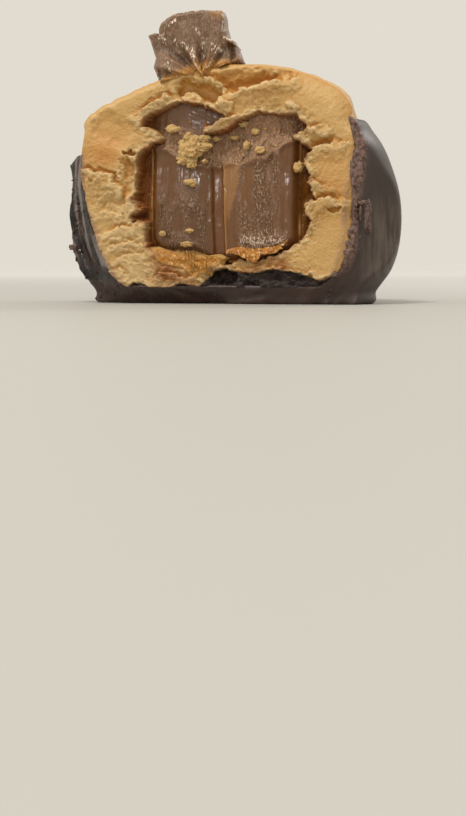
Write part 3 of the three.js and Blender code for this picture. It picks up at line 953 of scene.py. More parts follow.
def make_caramel():
    around, rings, sides = 520, 112, 10
    middle = ((CARAMEL["left"] + CARAMEL["right"]) / 2, FACE_Y, 14)
    rim = cast(lambda x, y, z: caramel_edge(x, z) < FLANGE, middle, directions(around)[1])
    front = face_net(middle, rim, np.linspace(0.02, 1, rings))[0]
    depth, masks = caramel_relief(front[..., 0], front[..., 2])
    front[..., 1] = FACE_Y + depth
    along = np.linspace(0, 1, sides + 1)[1:, None, None]
    deep = FACE_Y + CARAMEL["deep"]
    back = np.repeat(front[-1][None], sides, 0)
    back[..., 1:2] += along * (deep - back[..., 1:2])
    back[..., 2] -= 0.8 * along[..., 0] * np.maximum(back[..., 2] - 19, 0)
    centre = (middle[0], front[0, :, 1].mean(), middle[2])
    block = ringed("caramel_square", centre, np.concatenate([front, back]), (middle[0], deep, middle[2]))
    for name, values in masks.items():
        give_rings(block, name, np.concatenate([values, np.full((sides, around), name == "edge_way")]))
    return roughened(block, "sheared", 0.3, 0.13, CARAMEL_FINISH)


caramel = make_caramel()
print("caramel_square has", len(caramel.data.polygons), "faces")

# %% [markdown]
# The scrap on the dome is caramel that was pulled off while soft. Its front hangs over the edge of the
# dough in two pleats that meet at a point, its left has a small torn shelf and its right a smooth slope.

# %% The torn scrap on the dome
SCRAP_OUTLINE = [
    (-10.5, 32.6), (-9.6, 32.9), (-9.2, 32.7), (-8.6, 33.2), (-8.2, 33.6), (-7.4, 34.2), (-6.5, 34.7),
    (-4.8, 34.9), (-2.9, 35), (-0.6, 34.8), (-0.4, 34.2), (-0.4, 33.1), (0, 31.7), (0.6, 31.4),
    (1.3, 29.8), (1.7, 28.9), (0.4, 28.7), (-0.9, 28.2), (-2.2, 27.8), (-2.8, 27.1), (-3.4, 27.8),
    (-4.8, 27.1), (-6, 26.8), (-6.9, 26.8), (-8.3, 26.3), (-9.2, 27), (-9.7, 28.6), (-9.5, 29.8),
    (-10, 31.3),
]
SCRAP_MIDDLE = (-4.3, FACE_Y, 30.6)
SCRAP_DEEP = 6.6
PLEAT_POINT = (-2.8, 26.9)
# Each painted glint, a pale highlight painted on the scrap: half its width, its line.
SCRAP_PAINTED_GLINTS = [
    (0.45, [(-1.4, 30.5), (-1, 30.2)]),
    (0.2, [(-2.2, 28.2), (-1.7, 29)]),
    (0.22, [(-4.1, 30.3), (-3.7, 28.2)]),
    (0.15, [(-2.8, 31.5), (-2.8, 29.2)]),
    (0.18, [(-7.4, 29.2), (-6.6, 27.8)]),
    (0.16, [(-7.1, 33.4), (-6.2, 33.9)]),
    (0.22, [(-7.8, 31.7), (-7.6, 31.4)]),
    (0.2, [(-8.9, 32.2), (-8, 32.2)]),
    (0.25, [(-5.3, 31), (-4.7, 30.5)]),
    (0.12, [(-0.4, 31.6), (0.65, 31.4)]),
    (0.2, [(-3.6, 32.6), (-3.2, 32.2)]),
    (0.14, [(-6.4, 31.8), (-6.1, 30.9)]),
]


def scrap_relief(x, z):
    """Depth behind the plane of the cut, and how far up the pleats a point lies: the folds' painted shade.
    """
    spread = np.arctan2(x - PLEAT_POINT[0], z - PLEAT_POINT[1])
    near = ease(32.5, 28.5, z)
    pleats = 0.42 * np.cos(8.5 * spread + 0.4) * near + 0.3 * (np.abs(np.sin(12 * spread)) - 0.5) * near
    folds = 0.2 * rough(x / 2.6, z / 3.4, 82, 3) + 0.07 * noise(x / 0.5, z / 2, 83)
    stray = x + 0.25 * noise(z / 0.8, 0 * z, 84)
    shelf = 2.1 * ease(-8.1, -8.8, stray) * ease(33.3, 32.8, z + 0.2 * (x + 9))
    shelf = np.maximum(shelf, 1.6 * ease(-8.2, -8.9, x))
    slope = 1.5 * ease(-0.1, 0.15, x - 0.12 * (31 - z)) * ease(31.2, 30.8, z + 0.15 * x)
    droop = -0.35 * ease(29.5, 27.5, z) * ease(-9, -7.5, x) * ease(0.5, -1, x)
    depth = np.maximum(0.45 + pleats + folds + shelf + slope + droop, -0.3)
    return depth, np.clip(0.5 - 1.2 * pleats, 0, 1)


def make_scrap():
    around, rings, sides = 360, 70, 24
    turn, way = directions(around)
    rim = cast(lambda x, y, z: from_outline(x, z, SCRAP_OUTLINE) < 0, SCRAP_MIDDLE, way, reach=24)
    middle = np.asarray(SCRAP_MIDDLE)
    front, inland = face_net(middle, rim, np.linspace(0.03, 1, rings))
    x, z = front[..., 0], front[..., 2]
    depth, pleat = scrap_relief(x, z)
    depth = depth + 0.5 * ease(0.55, 0, inland) ** 2
    front[..., 1] = FACE_Y + depth
    along = np.linspace(0, 1, sides + 1)[1:, None]
    shrink = 1 - 0.16 * ease(0.3, 1, along) - 0.5 * ease(0.8, 1, along) ** 2
    back = np.empty((sides, around, 3))
    back[..., 0] = middle[0] + (rim[:, 0] - middle[0]) * shrink
    back[..., 1] = FACE_Y + depth[-1] + along * (SCRAP_DEEP - depth[-1])
    top = np.where(rim[:, 2] > middle[2], shrink, 1)
    back[..., 2] = middle[2] + (rim[:, 2] - middle[2]) * top
    bend = rough(back[..., 1] / 2.2, turn[None] * 2.1, 86)
    back[..., 0] += 0.3 * bend * np.cos(turn) * along
    back[..., 2] += 0.3 * bend * np.sin(turn) * along
    pole = (middle[0], FACE_Y + SCRAP_DEEP, middle[2] - 1)
    centre = (middle[0], front[0, :, 1].mean(), middle[2])
    scrap = ringed("caramel_top_scrap", centre, np.concatenate([front, back]), pole)
    thin = 0.95 * ease(2, 0.3, inland) * ease(30.3, 28.4, z) * ease(-8.4, -7.4, x) * ease(1.3, 0.2, x)
    thin = thin + 0.4 * ease(-2.6, -0.8, x) * ease(33.4, 34.4, z)
    # Painted highlights: a pale rim along the outline, and pale flecks along the listed glints.
    glint = 0.12 + 0.7 * ease(0.25, 0.05, inland)
    for half, line in SCRAP_PAINTED_GLINTS:
        glint = np.maximum(glint, 1.5 * ease(1.6, 0.5, from_stroke(x, z, line) / half))
    for name, values, rest in [("pleat", pleat, 0.4), ("thin", thin, 0.15), ("glint", glint, 0)]:
        give_rings(scrap, name, np.concatenate([values, np.full((sides, around), rest)]))
    give_all(scrap, sheared=1)
    return roughened(scrap, "sheared", 1.1, 0.16, SCRAP_FINISH, 4.0)


scrap = make_scrap()
print("caramel_top_scrap has", len(scrap.data.polygons), "faces")

# %% [markdown]
# Dark chocolate that set against the air has a soft satin sheen, with faint clouds where it cooled
# unevenly and a few pale nicks. Where the knife broke it, it is paler, pinkish and dull. Pale streaks on
# the smooth side are a painted reflection, and along the broken left edge pale streaks and dark gaps are
# painted highlights and painted shade.

# %% The chocolate's material
NICKS_PER_METRE = 420.0


def chocolate_material():
    material, tree, surface = new_material("dark_chocolate_finish")
    grain = use_group(tree, GRAIN, Size=0.0004)
    clouds = use_group(tree, GRAIN, Size=0.005)
    rubs = use_group(tree, STREAKS, Width=0.0006, Length=0.006)
    streaks = use_group(tree, STREAKS, Width=0.00035, Length=0.003)
    splinter, sliver = mask_of(tree, "splinter"), mask_of(tree, "sliver")
    body = blend(tree, clouds.outputs["Height"], srgb(46, 33, 27), srgb(60, 45, 37))
    broken = blend(tree, grain.outputs["Patches"], srgb(74, 52, 42), srgb(40, 28, 23))
    body = tinted(tree, body, "cut", 1.0, broken, 0.2, 0.9)
    coarse = span(tree, grain.outputs["Height"], 0.4, 0.6)
    crumbs = blend(tree, coarse, srgb(62, 40, 31), srgb(122, 92, 78))
    body = blend(tree, mask_of(tree, "crumbly"), body, crumbs)
    cells = node(tree, "ShaderNodeTexVoronoi", {"Vector": object_place(tree), "Scale": NICKS_PER_METRE})
    nick = span(tree, cells.outputs["Distance"], 0.06, 0.03, 0.0, 0.6)
    body = blend(tree, nick, body, srgb(170, 150, 132))
    # Painted sheen: pale streaks on the smooth side, as a painted reflection.
    body = painted_light_flecks(tree, body, rubs.outputs["Height"], 0.4, 0.65, 1.0, "rubbed", srgb(138, 122, 106))
    # Along the broken left edge: dark gaps as painted shade and pale streaks as painted highlights.
    splinter_gap_shade = math_node(tree, "MULTIPLY", span(tree, sliver, 0.5, 0.3), splinter)
    body = blend(tree, splinter_gap_shade, body, srgb(24, 18, 16))
    body = blend(tree, span(tree, sliver, 0.58, 0.75, 0.0, 0.5), body, srgb(150, 140, 132))
    sheen = span(tree, clouds.outputs["Patches"], 0.3, 0.7, 0.36, 0.5)
    rough_height = math_node(tree, "MULTIPLY", mask_of(tree, "crumbly"), 0.00012)
    fine = bump(tree, grain.outputs["Height"], math_node(tree, "ADD", rough_height, 0.00002))
    long_marks = math_node(tree, "MULTIPLY", streaks.outputs["Height"], splinter)
    marked = bump(tree, long_marks, 0.00018, fine)
    feed(tree, surface, {
        "Base Color": body,
        "Roughness": math_node(tree, "SUBTRACT", sheen, span(tree, splinter, 0.0, 1.0, 0.0, 0.2)),
        "Normal": bump(tree, clouds.outputs["Height"], 0.0001, marked),
    })
    return material


CHOCOLATE_FINISH = chocolate_material()

# %% [markdown]
# The coat is a thin cup of dark chocolate round the dough. It is easiest to make the way it came about:
# a turned body, less the dough in it, less all that lies above the dip line, less what the knife took.
# Booleans leave long thin faces, so a voxel remesh turns the result into an even net that can be
# smoothed and roughened.

# %% Blocks that cut
RIM = 20.9
RIM_TILT = 0.12
CRUMBLY_BAND = 1.4
BREAK_RADIUS = 18
TURNED_AROUND = 220
TURNED_UP = 110
BLOCK_HALF = 25
BLOCK_TOP = 45
RIM_STEP = 0.4
CUT_STEP = 0.22
VOXEL = 0.26


def turned(name, section, pinch, grow=0.0, lip=0.0):
    """A closed body from a half section, grown or shrunk, with an optional thicker lip at the dip line."""
    side = curve_through(section, TURNED_UP)
    radius, height = np.maximum(side[:, 0] + grow * (side[:, 0] > 0.01), 0), side[:, 1].copy()
    height = np.where(height < 14, height - grow, height + grow)
    turn = directions(TURNED_AROUND)[0]
    r = radius[:-1, None] + 0 * turn
    z = height[:-1, None] + 0 * turn
    x, y = r * np.cos(turn), r * np.sin(turn)
    under = z + LEAN * x * ease(15, 24, z) - rim_height(x, y + AXIS_Y)
    thinned = 0.8 * ease(-5, 0, under) * ease(3, 11, x) * ease(3, -3, y)
    lipped = lip * np.exp(-(((under + 1.2) / 0.6) ** 2)) - 3 * lip * ease(-0.9, 0.1, under) ** 2
    swell = 1 + (lipped - thinned * (lip > 0)) / RADIUS
    rings = settle(x * swell, y * swell, z, pinch)
    top = settle(0.0, 0.0, height[-1], pinch)
    points = np.concatenate([[settle(0.0, 0.0, height[0], pinch)], rings.reshape(-1, 3), [top]])
    faces = [f[::-1] for f in net_faces(len(rings), TURNED_AROUND)]
    return new_object(name, points, faces)


def rim_height(x, y):
    """Height of the chocolate's wavy edge."""
    waves = 0.7 * np.sin(0.31 * y + 0.6) + 0.45 * np.sin(0.55 * x + 0.38 * y)
    return RIM + RIM_TILT * x + waves + 0.16 * rough(x / 2.3, y / 2.3, 91, 3)


def relief_block(name, u, v, step, near, far, place):
    """A closed block over a patch of u and v, with one uneven side near(u, v) and one flat side far."""
    us, vs = [np.arange(a, b + step / 2, step) for a, b in (u, v)]
    uu, vv = np.meshgrid(us, vs, indexing="ij")
    m, n = uu.shape
    points = np.concatenate([place(uu, vv, w).reshape(-1, 3) for w in (near(uu, vv), far + 0 * uu)])
    grid = np.arange(m * n).reshape(m, n)
    quad = np.stack([grid[:-1, :-1], grid[1:, :-1], grid[1:, 1:], grid[:-1, 1:]], -1).reshape(-1, 4)
    loop = np.concatenate([grid[:, 0], grid[-1, 1:], grid[-2::-1, -1], grid[0, -2:0:-1]])
    after = np.roll(loop, -1)
    sides = np.stack([loop, loop + m * n, after + m * n, after], 1)
    faces = quad.tolist() + (quad[:, ::-1] + m * n).tolist() + sides.tolist()
    return faced_outwards(new_object(name, points, faces))


def faced_outwards(piece):
    """The closed piece with all its faces turned outwards."""
    work = bmesh.new()
    work.from_mesh(piece.data)
    bmesh.ops.recalc_face_normals(work, faces=work.faces)
    work.to_mesh(piece.data)
    work.free()
    return piece


def round_the_candy(x, z):
    """How far out a point of the cut lies, and how far round, in millimetres from the foot."""
    return np.hypot(x, z - HEART[2]), np.arctan2(x, HEART[2] - z) * BREAK_RADIUS


def coat_relief(x, z):
    """How far behind the plane of the cut the chocolate broke: flush at the dough, bevelled further out."""
    beyond = np.maximum(from_outline(x, z, DOUGH_RIM), 0)
    bevel = 0.75 * np.minimum(beyond, 3) * ease(2, -2, x) * ease(19, 13, z) + 0.35 * np.minimum(beyond, 2)
    curved = ease(8, 12, x) * ease(-1, 9, z)
    bevel = bevel + 1.3 * curved * np.maximum(beyond - CRUMBLY_BAND, 0)
    calm = 1 - 0.85 * curved * ease(CRUMBLY_BAND, CRUMBLY_BAND + 0.5, beyond)
    reach, turn = round_the_candy(x, z)
    splinters = 0.22 * rough(reach / 0.5, turn / 7, 93, 3) + 0.24 * shards(reach / 0.7, turn / 6, 94)
    chips = 0.2 * rough(x / 1.6, z / 2.2, 95, 2)
    broken = (splinters + chips) * calm * (0.4 + 0.6 * ease(0, 0.8, beyond))
    return 0.35 + bevel + 0.6 * ease(3.5, 0.5, z) + broken


def cut_away(piece, cutters):
    """The piece less the cutters, which are removed."""
    for cutter in cutters:
        modifier = piece.modifiers.new("cut", "BOOLEAN")
        modifier.operation, modifier.object, modifier.solver = "DIFFERENCE", cutter, "MANIFOLD"
    bake(piece)
    for cutter in cutters:
        bpy.data.objects.remove(cutter)
    return piece


# %% The chocolate coat
def make_coat():
    coat = turned("chocolate_shell", COAT_SECTION, COAT_PINCH, lip=0.28)
    room = turned("room_for_dough", DOUGH_SECTION, DOUGH_PINCH, grow=-0.3)
    above = relief_block(
        "above_the_dip", (-BLOCK_HALF, BLOCK_HALF), (-BLOCK_HALF, BLOCK_HALF), RIM_STEP,
        rim_height, BLOCK_TOP, lambda u, v, w: np.stack([u, v, w], -1),
    )
    knife = relief_block(
        "knife", (-BLOCK_HALF, BLOCK_HALF), (-3, BLOCK_TOP), CUT_STEP,
        lambda u, v: FACE_Y + coat_relief(u, v), FACE_Y - 20, lambda u, v, w: np.stack([u, w, v], -1),
    )
    cut_away(coat, [room, above, knife])
    remesh = coat.modifiers.new("even_net", "REMESH")
    remesh.mode, remesh.voxel_size, remesh.use_smooth_shade = "VOXEL", VOXEL * MM, True
    soften = coat.modifiers.new("soften", "SMOOTH")
    soften.factor, soften.iterations = 0.5, 4
    bake(coat)
    x, y, z = points_of(coat).T
    behind_cut = y - FACE_Y - coat_relief(x, z)
    beyond = from_outline(x, z, DOUGH_RIM)
    smooth_side = ease(8, 12, x) * ease(CRUMBLY_BAND, CRUMBLY_BAND + 0.5, beyond)
    cut = ease(0.9, 0.35, behind_cut) * (1 - smooth_side)
    outer = ease(0.5, 0.1, np.abs(behind_cut - 0.3)) * ease(0.4, 2, beyond)
    rim = ease(1.1, 0.2, rim_height(x, y) - z)
    splinter = cut * ease(2, -2, x)
    reach, turn = round_the_candy(x, z)
    # Painted highlights and painted shade streak the broken left edge, along the candy's curve.
    sliver = splinter * ease(2, 5, z) * (0.5 + 0.5 * rough(reach / 0.4, turn / 4.5, 97, 2))
    # Painted sheen: pale streaks painted on the lower right of the smooth side, a painted reflection.
    rubbed = smooth_side * ease(15, 9, z) * ease(1, 5, z) * ease(15, 19, x) * ease(-3, -6, y)
    for name, values in [
        ("cut", cut),
        ("crumbly", cut * ease(6, 11, x) * ease(3, 6, z)),
        ("edge", outer * (1 - smooth_side) * ease(0.5, 1.5, z)),
        ("splinter", splinter),
        ("sliver", np.maximum(sliver, 0.5 * ease(5, 2, z))),
        ("rubbed", 0.36 * rubbed),
        ("chipped", np.clip(cut + 0.25 * rim + 0.03, 0, 1)),
    ]:
        give(coat, name, values)
    return roughened(coat, "chipped", 0.6, 0.16, CHOCOLATE_FINISH, 9.0)


coat = make_coat()
print("chocolate_shell has", len(coat.data.polygons), "faces")

# %% [markdown]
# Where the knife left the caramel it pulled a thin torn lip off the right lobe, and on the left it
# smeared a film like honey over the dough. Both are sheets with a ragged outline: a front, and a back
# that follows it a fraction of a millimetre behind.

# %% Thin sheets with a ragged outline
def sheet(name, outline, middle, front_depth, thick, ragged, seed, deep):
    """A thin closed sheet inside a drawn outline; front_depth(x, z, inland) gives its face."""
    around, rings = 320, 30

    def inside(x, y, z):
        stray = ragged * rough(x / 0.7, z / 0.7, seed)
        return from_outline(x + stray, z - stray, outline) < 0

    start = (middle[0], FACE_Y, middle[1])
    rim = cast(inside, start, directions(around)[1], reach=16)
    front, inland = face_net(start, rim, np.linspace(0.03, 1, rings))
    depth = front_depth(front[..., 0], front[..., 2], inland)
    back = front[:-1][::-1].copy()
    full = thick * ease(0, 0.35, inland[:-1][::-1])
    back[..., 1] = FACE_Y + depth[:-1][::-1] + np.maximum(full, 0.02)
    front[..., 1] = FACE_Y + depth
    ends = [(start[0], ring[:, 1].mean(), start[2]) for ring in (front[0], back[-1])]
    made = ringed(name, ends[0], np.concatenate([front, back]), ends[1])
    give_all(made, sheared=1, deep=deep)
    border = ease(1.2, 0.2, np.concatenate([inland, inland[:-1][::-1]])) * (1 - deep)
    give(made, "border", np.concatenate([[0], border.ravel(), [0]]))
    return roughened(made, "sheared", 0.7, 0.08, AMBER_FINISH, float(seed))


def amber_material():
    material, tree, surface = new_material("amber_caramel_finish")
    grain = use_group(tree, GRAIN, Size=0.0004)
    sparks = use_group(tree, STREAKS, Width=0.0002, Length=0.0003)
    thick = span(tree, grain.outputs["Height"], 0.38, 0.62)
    honey = blend(tree, thick, srgb(172, 118, 40), srgb(150, 92, 18))
    orange = blend(tree, thick, srgb(176, 112, 20), srgb(126, 68, 2))
    colour = blend(tree, mask_of(tree, "deep"), honey, orange)
    # Painted glints: pale flecks on the amber.
    light_flecks = span(tree, sparks.outputs["Height"], 0.56, 0.66, 0.0, 0.8)
    colour = blend(tree, light_flecks, colour, srgb(232, 200, 140))
    colour = blend(tree, mask_of(tree, "border"), colour, srgb(184, 142, 82))
    gloss = span(tree, grain.outputs["Height"], 0.3, 0.7, 0.08, 0.2)
    glaze(tree, surface, colour, gloss, bump(tree, grain.outputs["Height"], 0.0002), {
        "Subsurface Weight": 0.1, "Subsurface Radius": (1.0, 0.5, 0.12), "Subsurface Scale": 0.0012,
        "Specular IOR Level": 0.2, "Coat Weight": 0.25, "Coat Roughness": 0.03,
    })
    return material


AMBER_FINISH = amber_material()
LIP = [
    (0, 6.3), (0.2, 5.7), (1.5, 6), (2.8, 5.3), (3.9, 5), (4.6, 5.8), (6.5, 6.2), (7.3, 6.8),
    (7.7, 7.7), (6.8, 7.5), (5, 7.1), (3, 6.9), (1.2, 7),
]
FILM = [
    (-9.7, 6.7), (-9.4, 5.4), (-8, 4.7), (-6.8, 4.4), (-5.7, 3.9), (-4.8, 3.1), (-3.6, 2.6), (-2.5, 3),
    (-1.5, 4.1), (-0.3, 4.7), (0.1, 5.9), (-1.2, 5.9), (-2.6, 5.9), (-4.5, 6.5), (-6.5, 6.7),
    (-8.4, 6.8),
]


def lip_depth(x, z, inland):
    """How the lip curls out of the cut; inland plays no part in it."""
    curled = 0.65 * ease(7.4, 5.6, z)
    return 0.42 - curled + 0.12 * rough(x / 0.9, z / 0.7, 121) + 0.05 * noise(x / 0.3, z / 0.5, 122)


def film_depth(x, z, inland):
    """How the film follows the dough below it."""
    dough_below = np.clip(dough_relief(x, z, inland + 3)[0], 0.1, 1)
    wrinkles = 0.06 * rough(x / 1.6, z / 1.2, 131, 2) + 0.03 * noise(x / 0.5, z / 1.6, 132)
    return blurred(dough_below, 12) - 0.16 + wrinkles + 0.6 * ease(0.7, 0, inland)


lip = sheet("torn_caramel_lip", LIP, (3.9, 6.5), lip_depth, 0.28, 0.2, 123, 1.0)
film = sheet("smeared_caramel_film", FILM, (-4.6, 5.1), film_depth, 0.3, 0.25, 133, 0.0)
print("torn_caramel_lip has", len(lip.data.polygons), "faces")
print("smeared_caramel_film has", len(film.data.polygons), "faces")

# %% [markdown]
# Thin strands of caramel still bridge the gap below the left lobe. A strand is a line with a round
# section, which is what Geometry Nodes' Curve to Mesh makes of a drawn path.

# %% Strands along drawn lines
def strand_tree():
    tree, given, result = geometry_tree("spin_strands", [("Radius", "Float", 0.00007), ("Sides", "Int", 7)])
    path = node(tree, "GeometryNodeMeshToCurve", {0: given.outputs["Geometry"]}).outputs[0]
    ring = node(tree, "GeometryNodeCurvePrimitiveCircle", {
        "Resolution": given.outputs["Sides"], "Radius": given.outputs["Radius"],
    }).outputs[0]
    tube = node(tree, "GeometryNodeCurveToMesh", {
        "Curve": path, "Profile Curve": ring, "Fill Caps": True,
    }).outputs[0]
    smooth = node(tree, "GeometryNodeSetShadeSmooth", {"Geometry": tube}).outputs[0]
    end_tree(tree, smooth, given.outputs["Finish"], result)
    return tree


STRAND_PATHS = [
    [(-4.9, 0.5, 6.4), (-4.6, 0.05, 5.4), (-4.2, 0.1, 4.2), (-4.1, 0.4, 3.6)],
    [(-4.5, 0.5, 6.3), (-4.3, 0, 5.5), (-3.9, 0.05, 4.4), (-3.6, 0.4, 3.8)],
    [(-4.1, 0.5, 6.2), (-3.9, 0.05, 5.2), (-3.4, 0.15, 4.2), (-3.2, 0.4, 3.5)],
    [(-2.6, 0.5, 5.9), (-2.4, 0.05, 5), (-2.4, 0.1, 4.3), (-2.1, 0.4, 3.6)],
    [(-3.2, 0.5, 28.6), (-3, -0.1, 27.9), (-2.85, 0, 27.3), (-2.8, 0.3, 26.9)],
    [(-2.5, 0.5, 28.6), (-2.6, -0.1, 27.8), (-2.75, 0, 27.3), (-2.8, 0.3, 26.9)],
]


def make_strands():
    points, edges = [], []
    for path in STRAND_PATHS:
        line = curve_through(path, 14)
        start = len(points)
        points += [(x, FACE_Y + y, z) for x, y, z in line.tolist()]
        edges += [(start + i, start + i + 1) for i in range(len(line) - 1)]
    mesh = bpy.data.meshes.new("caramel_strands")
    mesh.from_pydata((np.array(points) * MM).tolist(), edges, [])
    values = {"Radius": 0.1 * MM, "Sides": 7, "Finish": AMBER_FINISH}
    return run_tree(placed("caramel_strands", mesh), strand_tree(), values)


strands = make_strands()
print("caramel_strands has", len(strands.data.polygons), "faces")

# %% [markdown]
# Crumbs of dough stuck to the caramel. The large ones have places of their own. Each starts as a ball
# of triangles that three layers of noise pull into a ragged lump.

# %% Crumbs with places of their own
# Each crumb: its middle, with Y from the plane of the cut, half its sizes, its seed.
CRUMBS = [
    ((-4.3, 0.8, 18.8), (1.45, 0.7, 1.25), 3), ((-2.8, 0.8, 19.8), (0.8, 0.4, 0.45), 5),
    ((-2.7, 0.8, 18.9), (0.7, 0.4, 0.5), 19), ((-4.7, 0.8, 20), (0.5, 0.4, 0.55), 20),
    ((-5.4, 0.8, 19.4), (0.5, 0.35, 0.4), 22), ((-5, 0.75, 17.6), (1, 0.5, 0.75), 4),
    ((-4.3, 0.7, 16.9), (0.6, 0.4, 0.6), 23), ((-4.6, 0.4, 14.6), (0.7, 0.35, 0.35), 6),
    ((-4.1, 0.4, 14.4), (0.5, 0.3, 0.4), 24), ((-6.7, 1.1, 21.1), (0.8, 0.4, 0.42), 7),
    ((-7.9, 0.3, 8.5), (0.4, 0.3, 0.32), 8), ((-4.5, 0.3, 8.8), (0.5, 0.25, 0.25), 9),
    ((-4.8, 0.2, 7.2), (0.8, 0.4, 0.35), 10), ((8.8, 1, 16.3), (0.55, 0.5, 0.6), 11),
    ((1.9, 1.7, 21.5), (0.6, 0.35, 0.35), 12), ((3.4, 1.5, 20.6), (0.45, 0.35, 0.35), 13),
    ((-1.5, 1.5, 19.8), (0.4, 0.3, 0.25), 14), ((2.3, 1.3, 18.9), (0.35, 0.3, 0.5), 15),
    ((4.1, 1.2, 18.4), (0.55, 0.3, 0.4), 16), ((0.8, 1.7, 19.9), (0.5, 0.3, 0.22), 17),
    ((-2.6, 0.3, 17.1), (0.35, 0.3, 0.25), 18),
]


def ball(detail):
    """Unit directions and triangles of an even ball."""
    work = bmesh.new()
    bmesh.ops.create_icosphere(work, subdivisions=detail, radius=1)
    points = np.array([v.co for v in work.verts])
    faces = np.array([[v.index for v in f.verts] for f in work.faces])
    work.free()
    return points, faces


def ragged(way, seed, coarse=0.24, fine=0.15):
    """How far a lump reaches in each direction."""
    x, y, z = way.T
    swell = [rough(a * 1.7 + seed, b * 1.7 - seed, seed, 2) for a, b in ((x, y), (y, z), (z, x))]
    spikes = [noise(a * 6 + seed, b * 6, seed + 40) for a, b in ((x, y), (y, z), (z, x))]
    return 1 + coarse * sum(swell) / 1.7 + fine * sum(spikes)


def make_crumbs():
    lumps = []
    for (x, y, z), half, seed in CRUMBS:
        way, triangles = ball(5 if half[0] > 0.9 else 4)
        lump = way * ragged(way, seed)[:, None] * np.array(half)
        lumps.append((lump + np.array([x, FACE_Y + y, z]), triangles))
    made = joined("dough_crumbs", lumps)
    give_all(made, torn=1, hollow=0.4)
    return roughened(made, "torn", 0.4, 0.2, DOUGH_FINISH, 2.0)


crumbs = make_crumbs()
print("dough_crumbs has", len(crumbs.data.polygons), "faces")

# %% [markdown]
# The smallest crumbs and chips fall where they like, so a second tree strews them over a piece: it
# spreads points where a mask allows, sets a small bit on each, turned and sized at random from a fixed
# seed, and makes them real.

# %% A node tree that strews small bits
def strewing_tree():
    tree, given, result = geometry_tree("strew_bits", [
        ("Mask", "String", "sheared"), ("Bit", "Object", None),
        ("Bits per square metre", "Float", 100000.0), ("Smallest", "Float", 0.5),
        ("Largest", "Float", 1.5), ("Seed", "Int", 5),
    ])
    mask = stored(tree, given.outputs["Mask"])
    density = math_node(tree, "MULTIPLY", mask, given.outputs["Bits per square metre"])
    spread = node(tree, "GeometryNodeDistributePointsOnFaces", {
        "Mesh": given.outputs["Geometry"], "Density": density, "Seed": given.outputs["Seed"],
    }).outputs["Points"]
    turn = node(tree, "FunctionNodeRandomValue", {
        1: (6.28, 6.28, 6.28), 8: given.outputs["Seed"],
    }, data_type="FLOAT_VECTOR").outputs[0]
    size = node(tree, "FunctionNodeRandomValue", {
        2: given.outputs["Smallest"], 3: given.outputs["Largest"], 8: given.outputs["Seed"],
    }, data_type="FLOAT").outputs[1]
    bit = node(tree, "GeometryNodeObjectInfo", {0: given.outputs["Bit"]}).outputs["Geometry"]
    bits = node(tree, "GeometryNodeInstanceOnPoints", {
        "Points": spread, "Instance": bit, "Rotation": turn, "Scale": size,
    }).outputs[0]
    end_tree(tree, bits, given.outputs["Finish"], result)
    return tree


STREW = strewing_tree()


def small_bit(name, half, seed):
    """One coarse lump for the tree to strew."""
    way, triangles = ball(2)
    bit = new_object(name, way * ragged(way, seed)[:, None] * np.array(half), triangles.tolist())
    give_all(bit, torn=1, hollow=0.35, cut=1)
    return bit


def strew(host, name, bit, values):
    """A new piece of bits strewn over the host, which itself stays as it is."""
    made = run_tree(placed(name, host.data.copy()), STREW, {"Bit": bit, **values})
    bpy.data.objects.remove(bit)
    return made


dust = strew(caramel, "dough_dust", small_bit("dust_bit", (0.16, 0.12, 0.13), 21), {
    "Mask": "sheared", "Bits per square metre": 300000.0, "Smallest": 0.4, "Largest": 1.3, "Seed": 12,
    "Finish": DOUGH_FINISH,
})
print("dough_dust has", len(dust.data.polygons), "faces")

# %% [markdown]
# The knife also shaved the chocolate: a small curl hangs on the right of the cut, and flakes lie along
# the broken edge.

# %% The curl and the flakes
# Each part: its middle, with Y from the plane of the cut, half its sizes, its seed.
CURL_PARTS = [
    ((17.1, 1.05, 10.3), (0.4, 0.45, 2), 31), ((16.5, 0.8, 12), (0.7, 0.4, 0.3), 32),
    ((16.3, 0.8, 10.9), (0.18, 0.3, 1.1), 33), ((13.4, 0.3, 3.6), (0.3, 0.22, 0.3), 34),
    ((-20.05, 2.2, 6.9), (0.5, 0.3, 0.32), 35),
]


def make_curl():
    lumps = []
    for (x, y, z), half, seed in CURL_PARTS:
        way, triangles = ball(4)
        boxy = way / np.maximum(np.abs(way).max(1), 0.01)[:, None] ** 0.55
        bar = boxy * ragged(way, seed, 0.2, 0.1)[:, None] * np.array(half)
        bar[:, 1] += 0.25 * (bar[:, 2] / 2) ** 2
        lumps.append((bar + np.array([x, FACE_Y + y, z]), triangles))
    made = joined("chocolate_curl", lumps)
    give_all(made, cut=0.9, crumbly=0.6, chipped=1)
    return roughened(made, "chipped", 0.4, 0.12, CHOCOLATE_FINISH, 6.0)


curl = make_curl()
flakes = strew(coat, "chocolate_flakes", small_bit("flake_bit", (0.26, 0.08, 0.16), 41), {
    "Mask": "edge", "Bits per square metre": 900000.0, "Smallest": 0.5, "Largest": 1.6, "Seed": 4,
    "Finish": CHOCOLATE_FINISH,
})
print("chocolate_flakes has", len(flakes.data.polygons), "faces")

# %% [markdown]
# The studio is a wide pale floor under an even pale sky; round the candy the floor is painted darker,
# as painted shade that evens out the lamps' pool of light there. The main soft light is above and in
# front. A small card in front and weaker windows, on the right behind and on the left, lift the shadows.

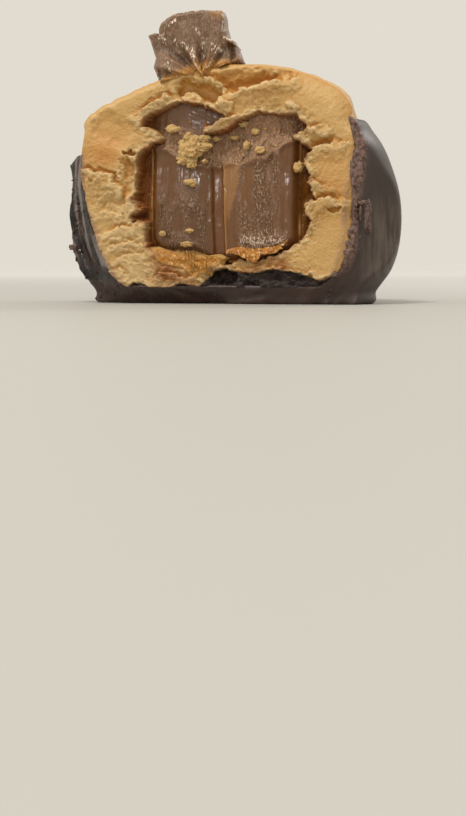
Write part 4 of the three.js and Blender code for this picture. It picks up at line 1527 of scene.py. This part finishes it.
# %% The floor and the lights
FLOOR_HALF = 4000 * MM
FLOOR_DROP = 0.02 * MM
floor_mesh = bpy.data.meshes.new("floor")
floor_corners = [
    (x * FLOOR_HALF, y * FLOOR_HALF, -FLOOR_DROP) for x, y in ((-1, -1), (1, -1), (1, 1), (-1, 1))
]
floor_mesh.from_pydata(floor_corners, [], [(0, 1, 2, 3)])
floor = placed("floor", floor_mesh)
floor_finish, floor_tree, floor_surface = new_material("floor_finish")
floor_way = node(floor_tree, "ShaderNodeVectorMath", {
    0: object_place(floor_tree), 1: (0, -0.1, 0),
}, operation="DISTANCE")
# Painted shade: the floor is grey near the candy and fades to white about 60 cm away.
floor_shade_falloff = node(floor_tree, "ShaderNodeMapRange", {
    0: floor_way.outputs["Value"], 1: 0.05, 2: 0.6,
}, interpolation_type="SMOOTHSTEP").outputs[0]
floor_painted_shade = blend(floor_tree, floor_shade_falloff, srgb(166, 163, 155), (1, 1, 1, 1))
feed(floor_tree, floor_surface, {"Base Color": floor_painted_shade}, {"Roughness": 0.6})
floor_mesh.materials.append(floor_finish)

world = bpy.data.worlds.new("studio")
bpy.context.scene.world = world
world.use_nodes = True
sky = world.node_tree.nodes["Background"]
sky.inputs["Color"].default_value = srgb(226, 220, 208)
sky.inputs["Strength"].default_value = 1.0
bpy.context.scene.view_settings.view_transform = "Standard"


LIT_POINT = Vector((0, 0, 15)) * MM


def soft_light(name, place, size, power):
    """A round lamp that faces the middle of the candy."""
    lamp = bpy.data.lights.new(name, "AREA")
    lamp.shape, lamp.size, lamp.energy = "DISK", size * MM, power
    made = placed(name, lamp)
    made.location = Vector(place) * MM
    made.rotation_euler = (LIT_POINT - made.location).to_track_quat("-Z", "Y").to_euler()


soft_light("overhead", (-30, -120, 230), 60, 0.4)
soft_light("front_card", (30, -260, 90), 36, 0.1)
soft_light("right_window", (150, 140, 150), 60, 0.16)
soft_light("left_window", (-200, -90, 90), 60, 0.06)

# %% [markdown]
# Last, each piece rides on the candy's one body and stands for its CAD node.

# %% Ride and replace
for piece, nodes, slot in [
    (coat, ["chocolate_coat"], "dark_chocolate"),
    (dough, ["peanut_butter_dough"], "peanut_butter_dough"),
    (caramel, ["caramel_centre"], "soft_caramel"),
    (scrap, ["caramel_scrap"], "torn_caramel"),
    (lip, [], "torn_caramel"),
    (film, [], "torn_caramel"),
    (strands, [], "torn_caramel"),
    (crumbs, [], "peanut_butter_dough"),
    (dust, [], "peanut_butter_dough"),
    (curl, [], "dark_chocolate"),
    (flakes, [], "dark_chocolate"),
]:
    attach(piece, "root")
    if nodes:
        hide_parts(*nodes)
    print(piece.name, "has", sum(len(p.vertices) - 2 for p in piece.data.polygons), "triangles")
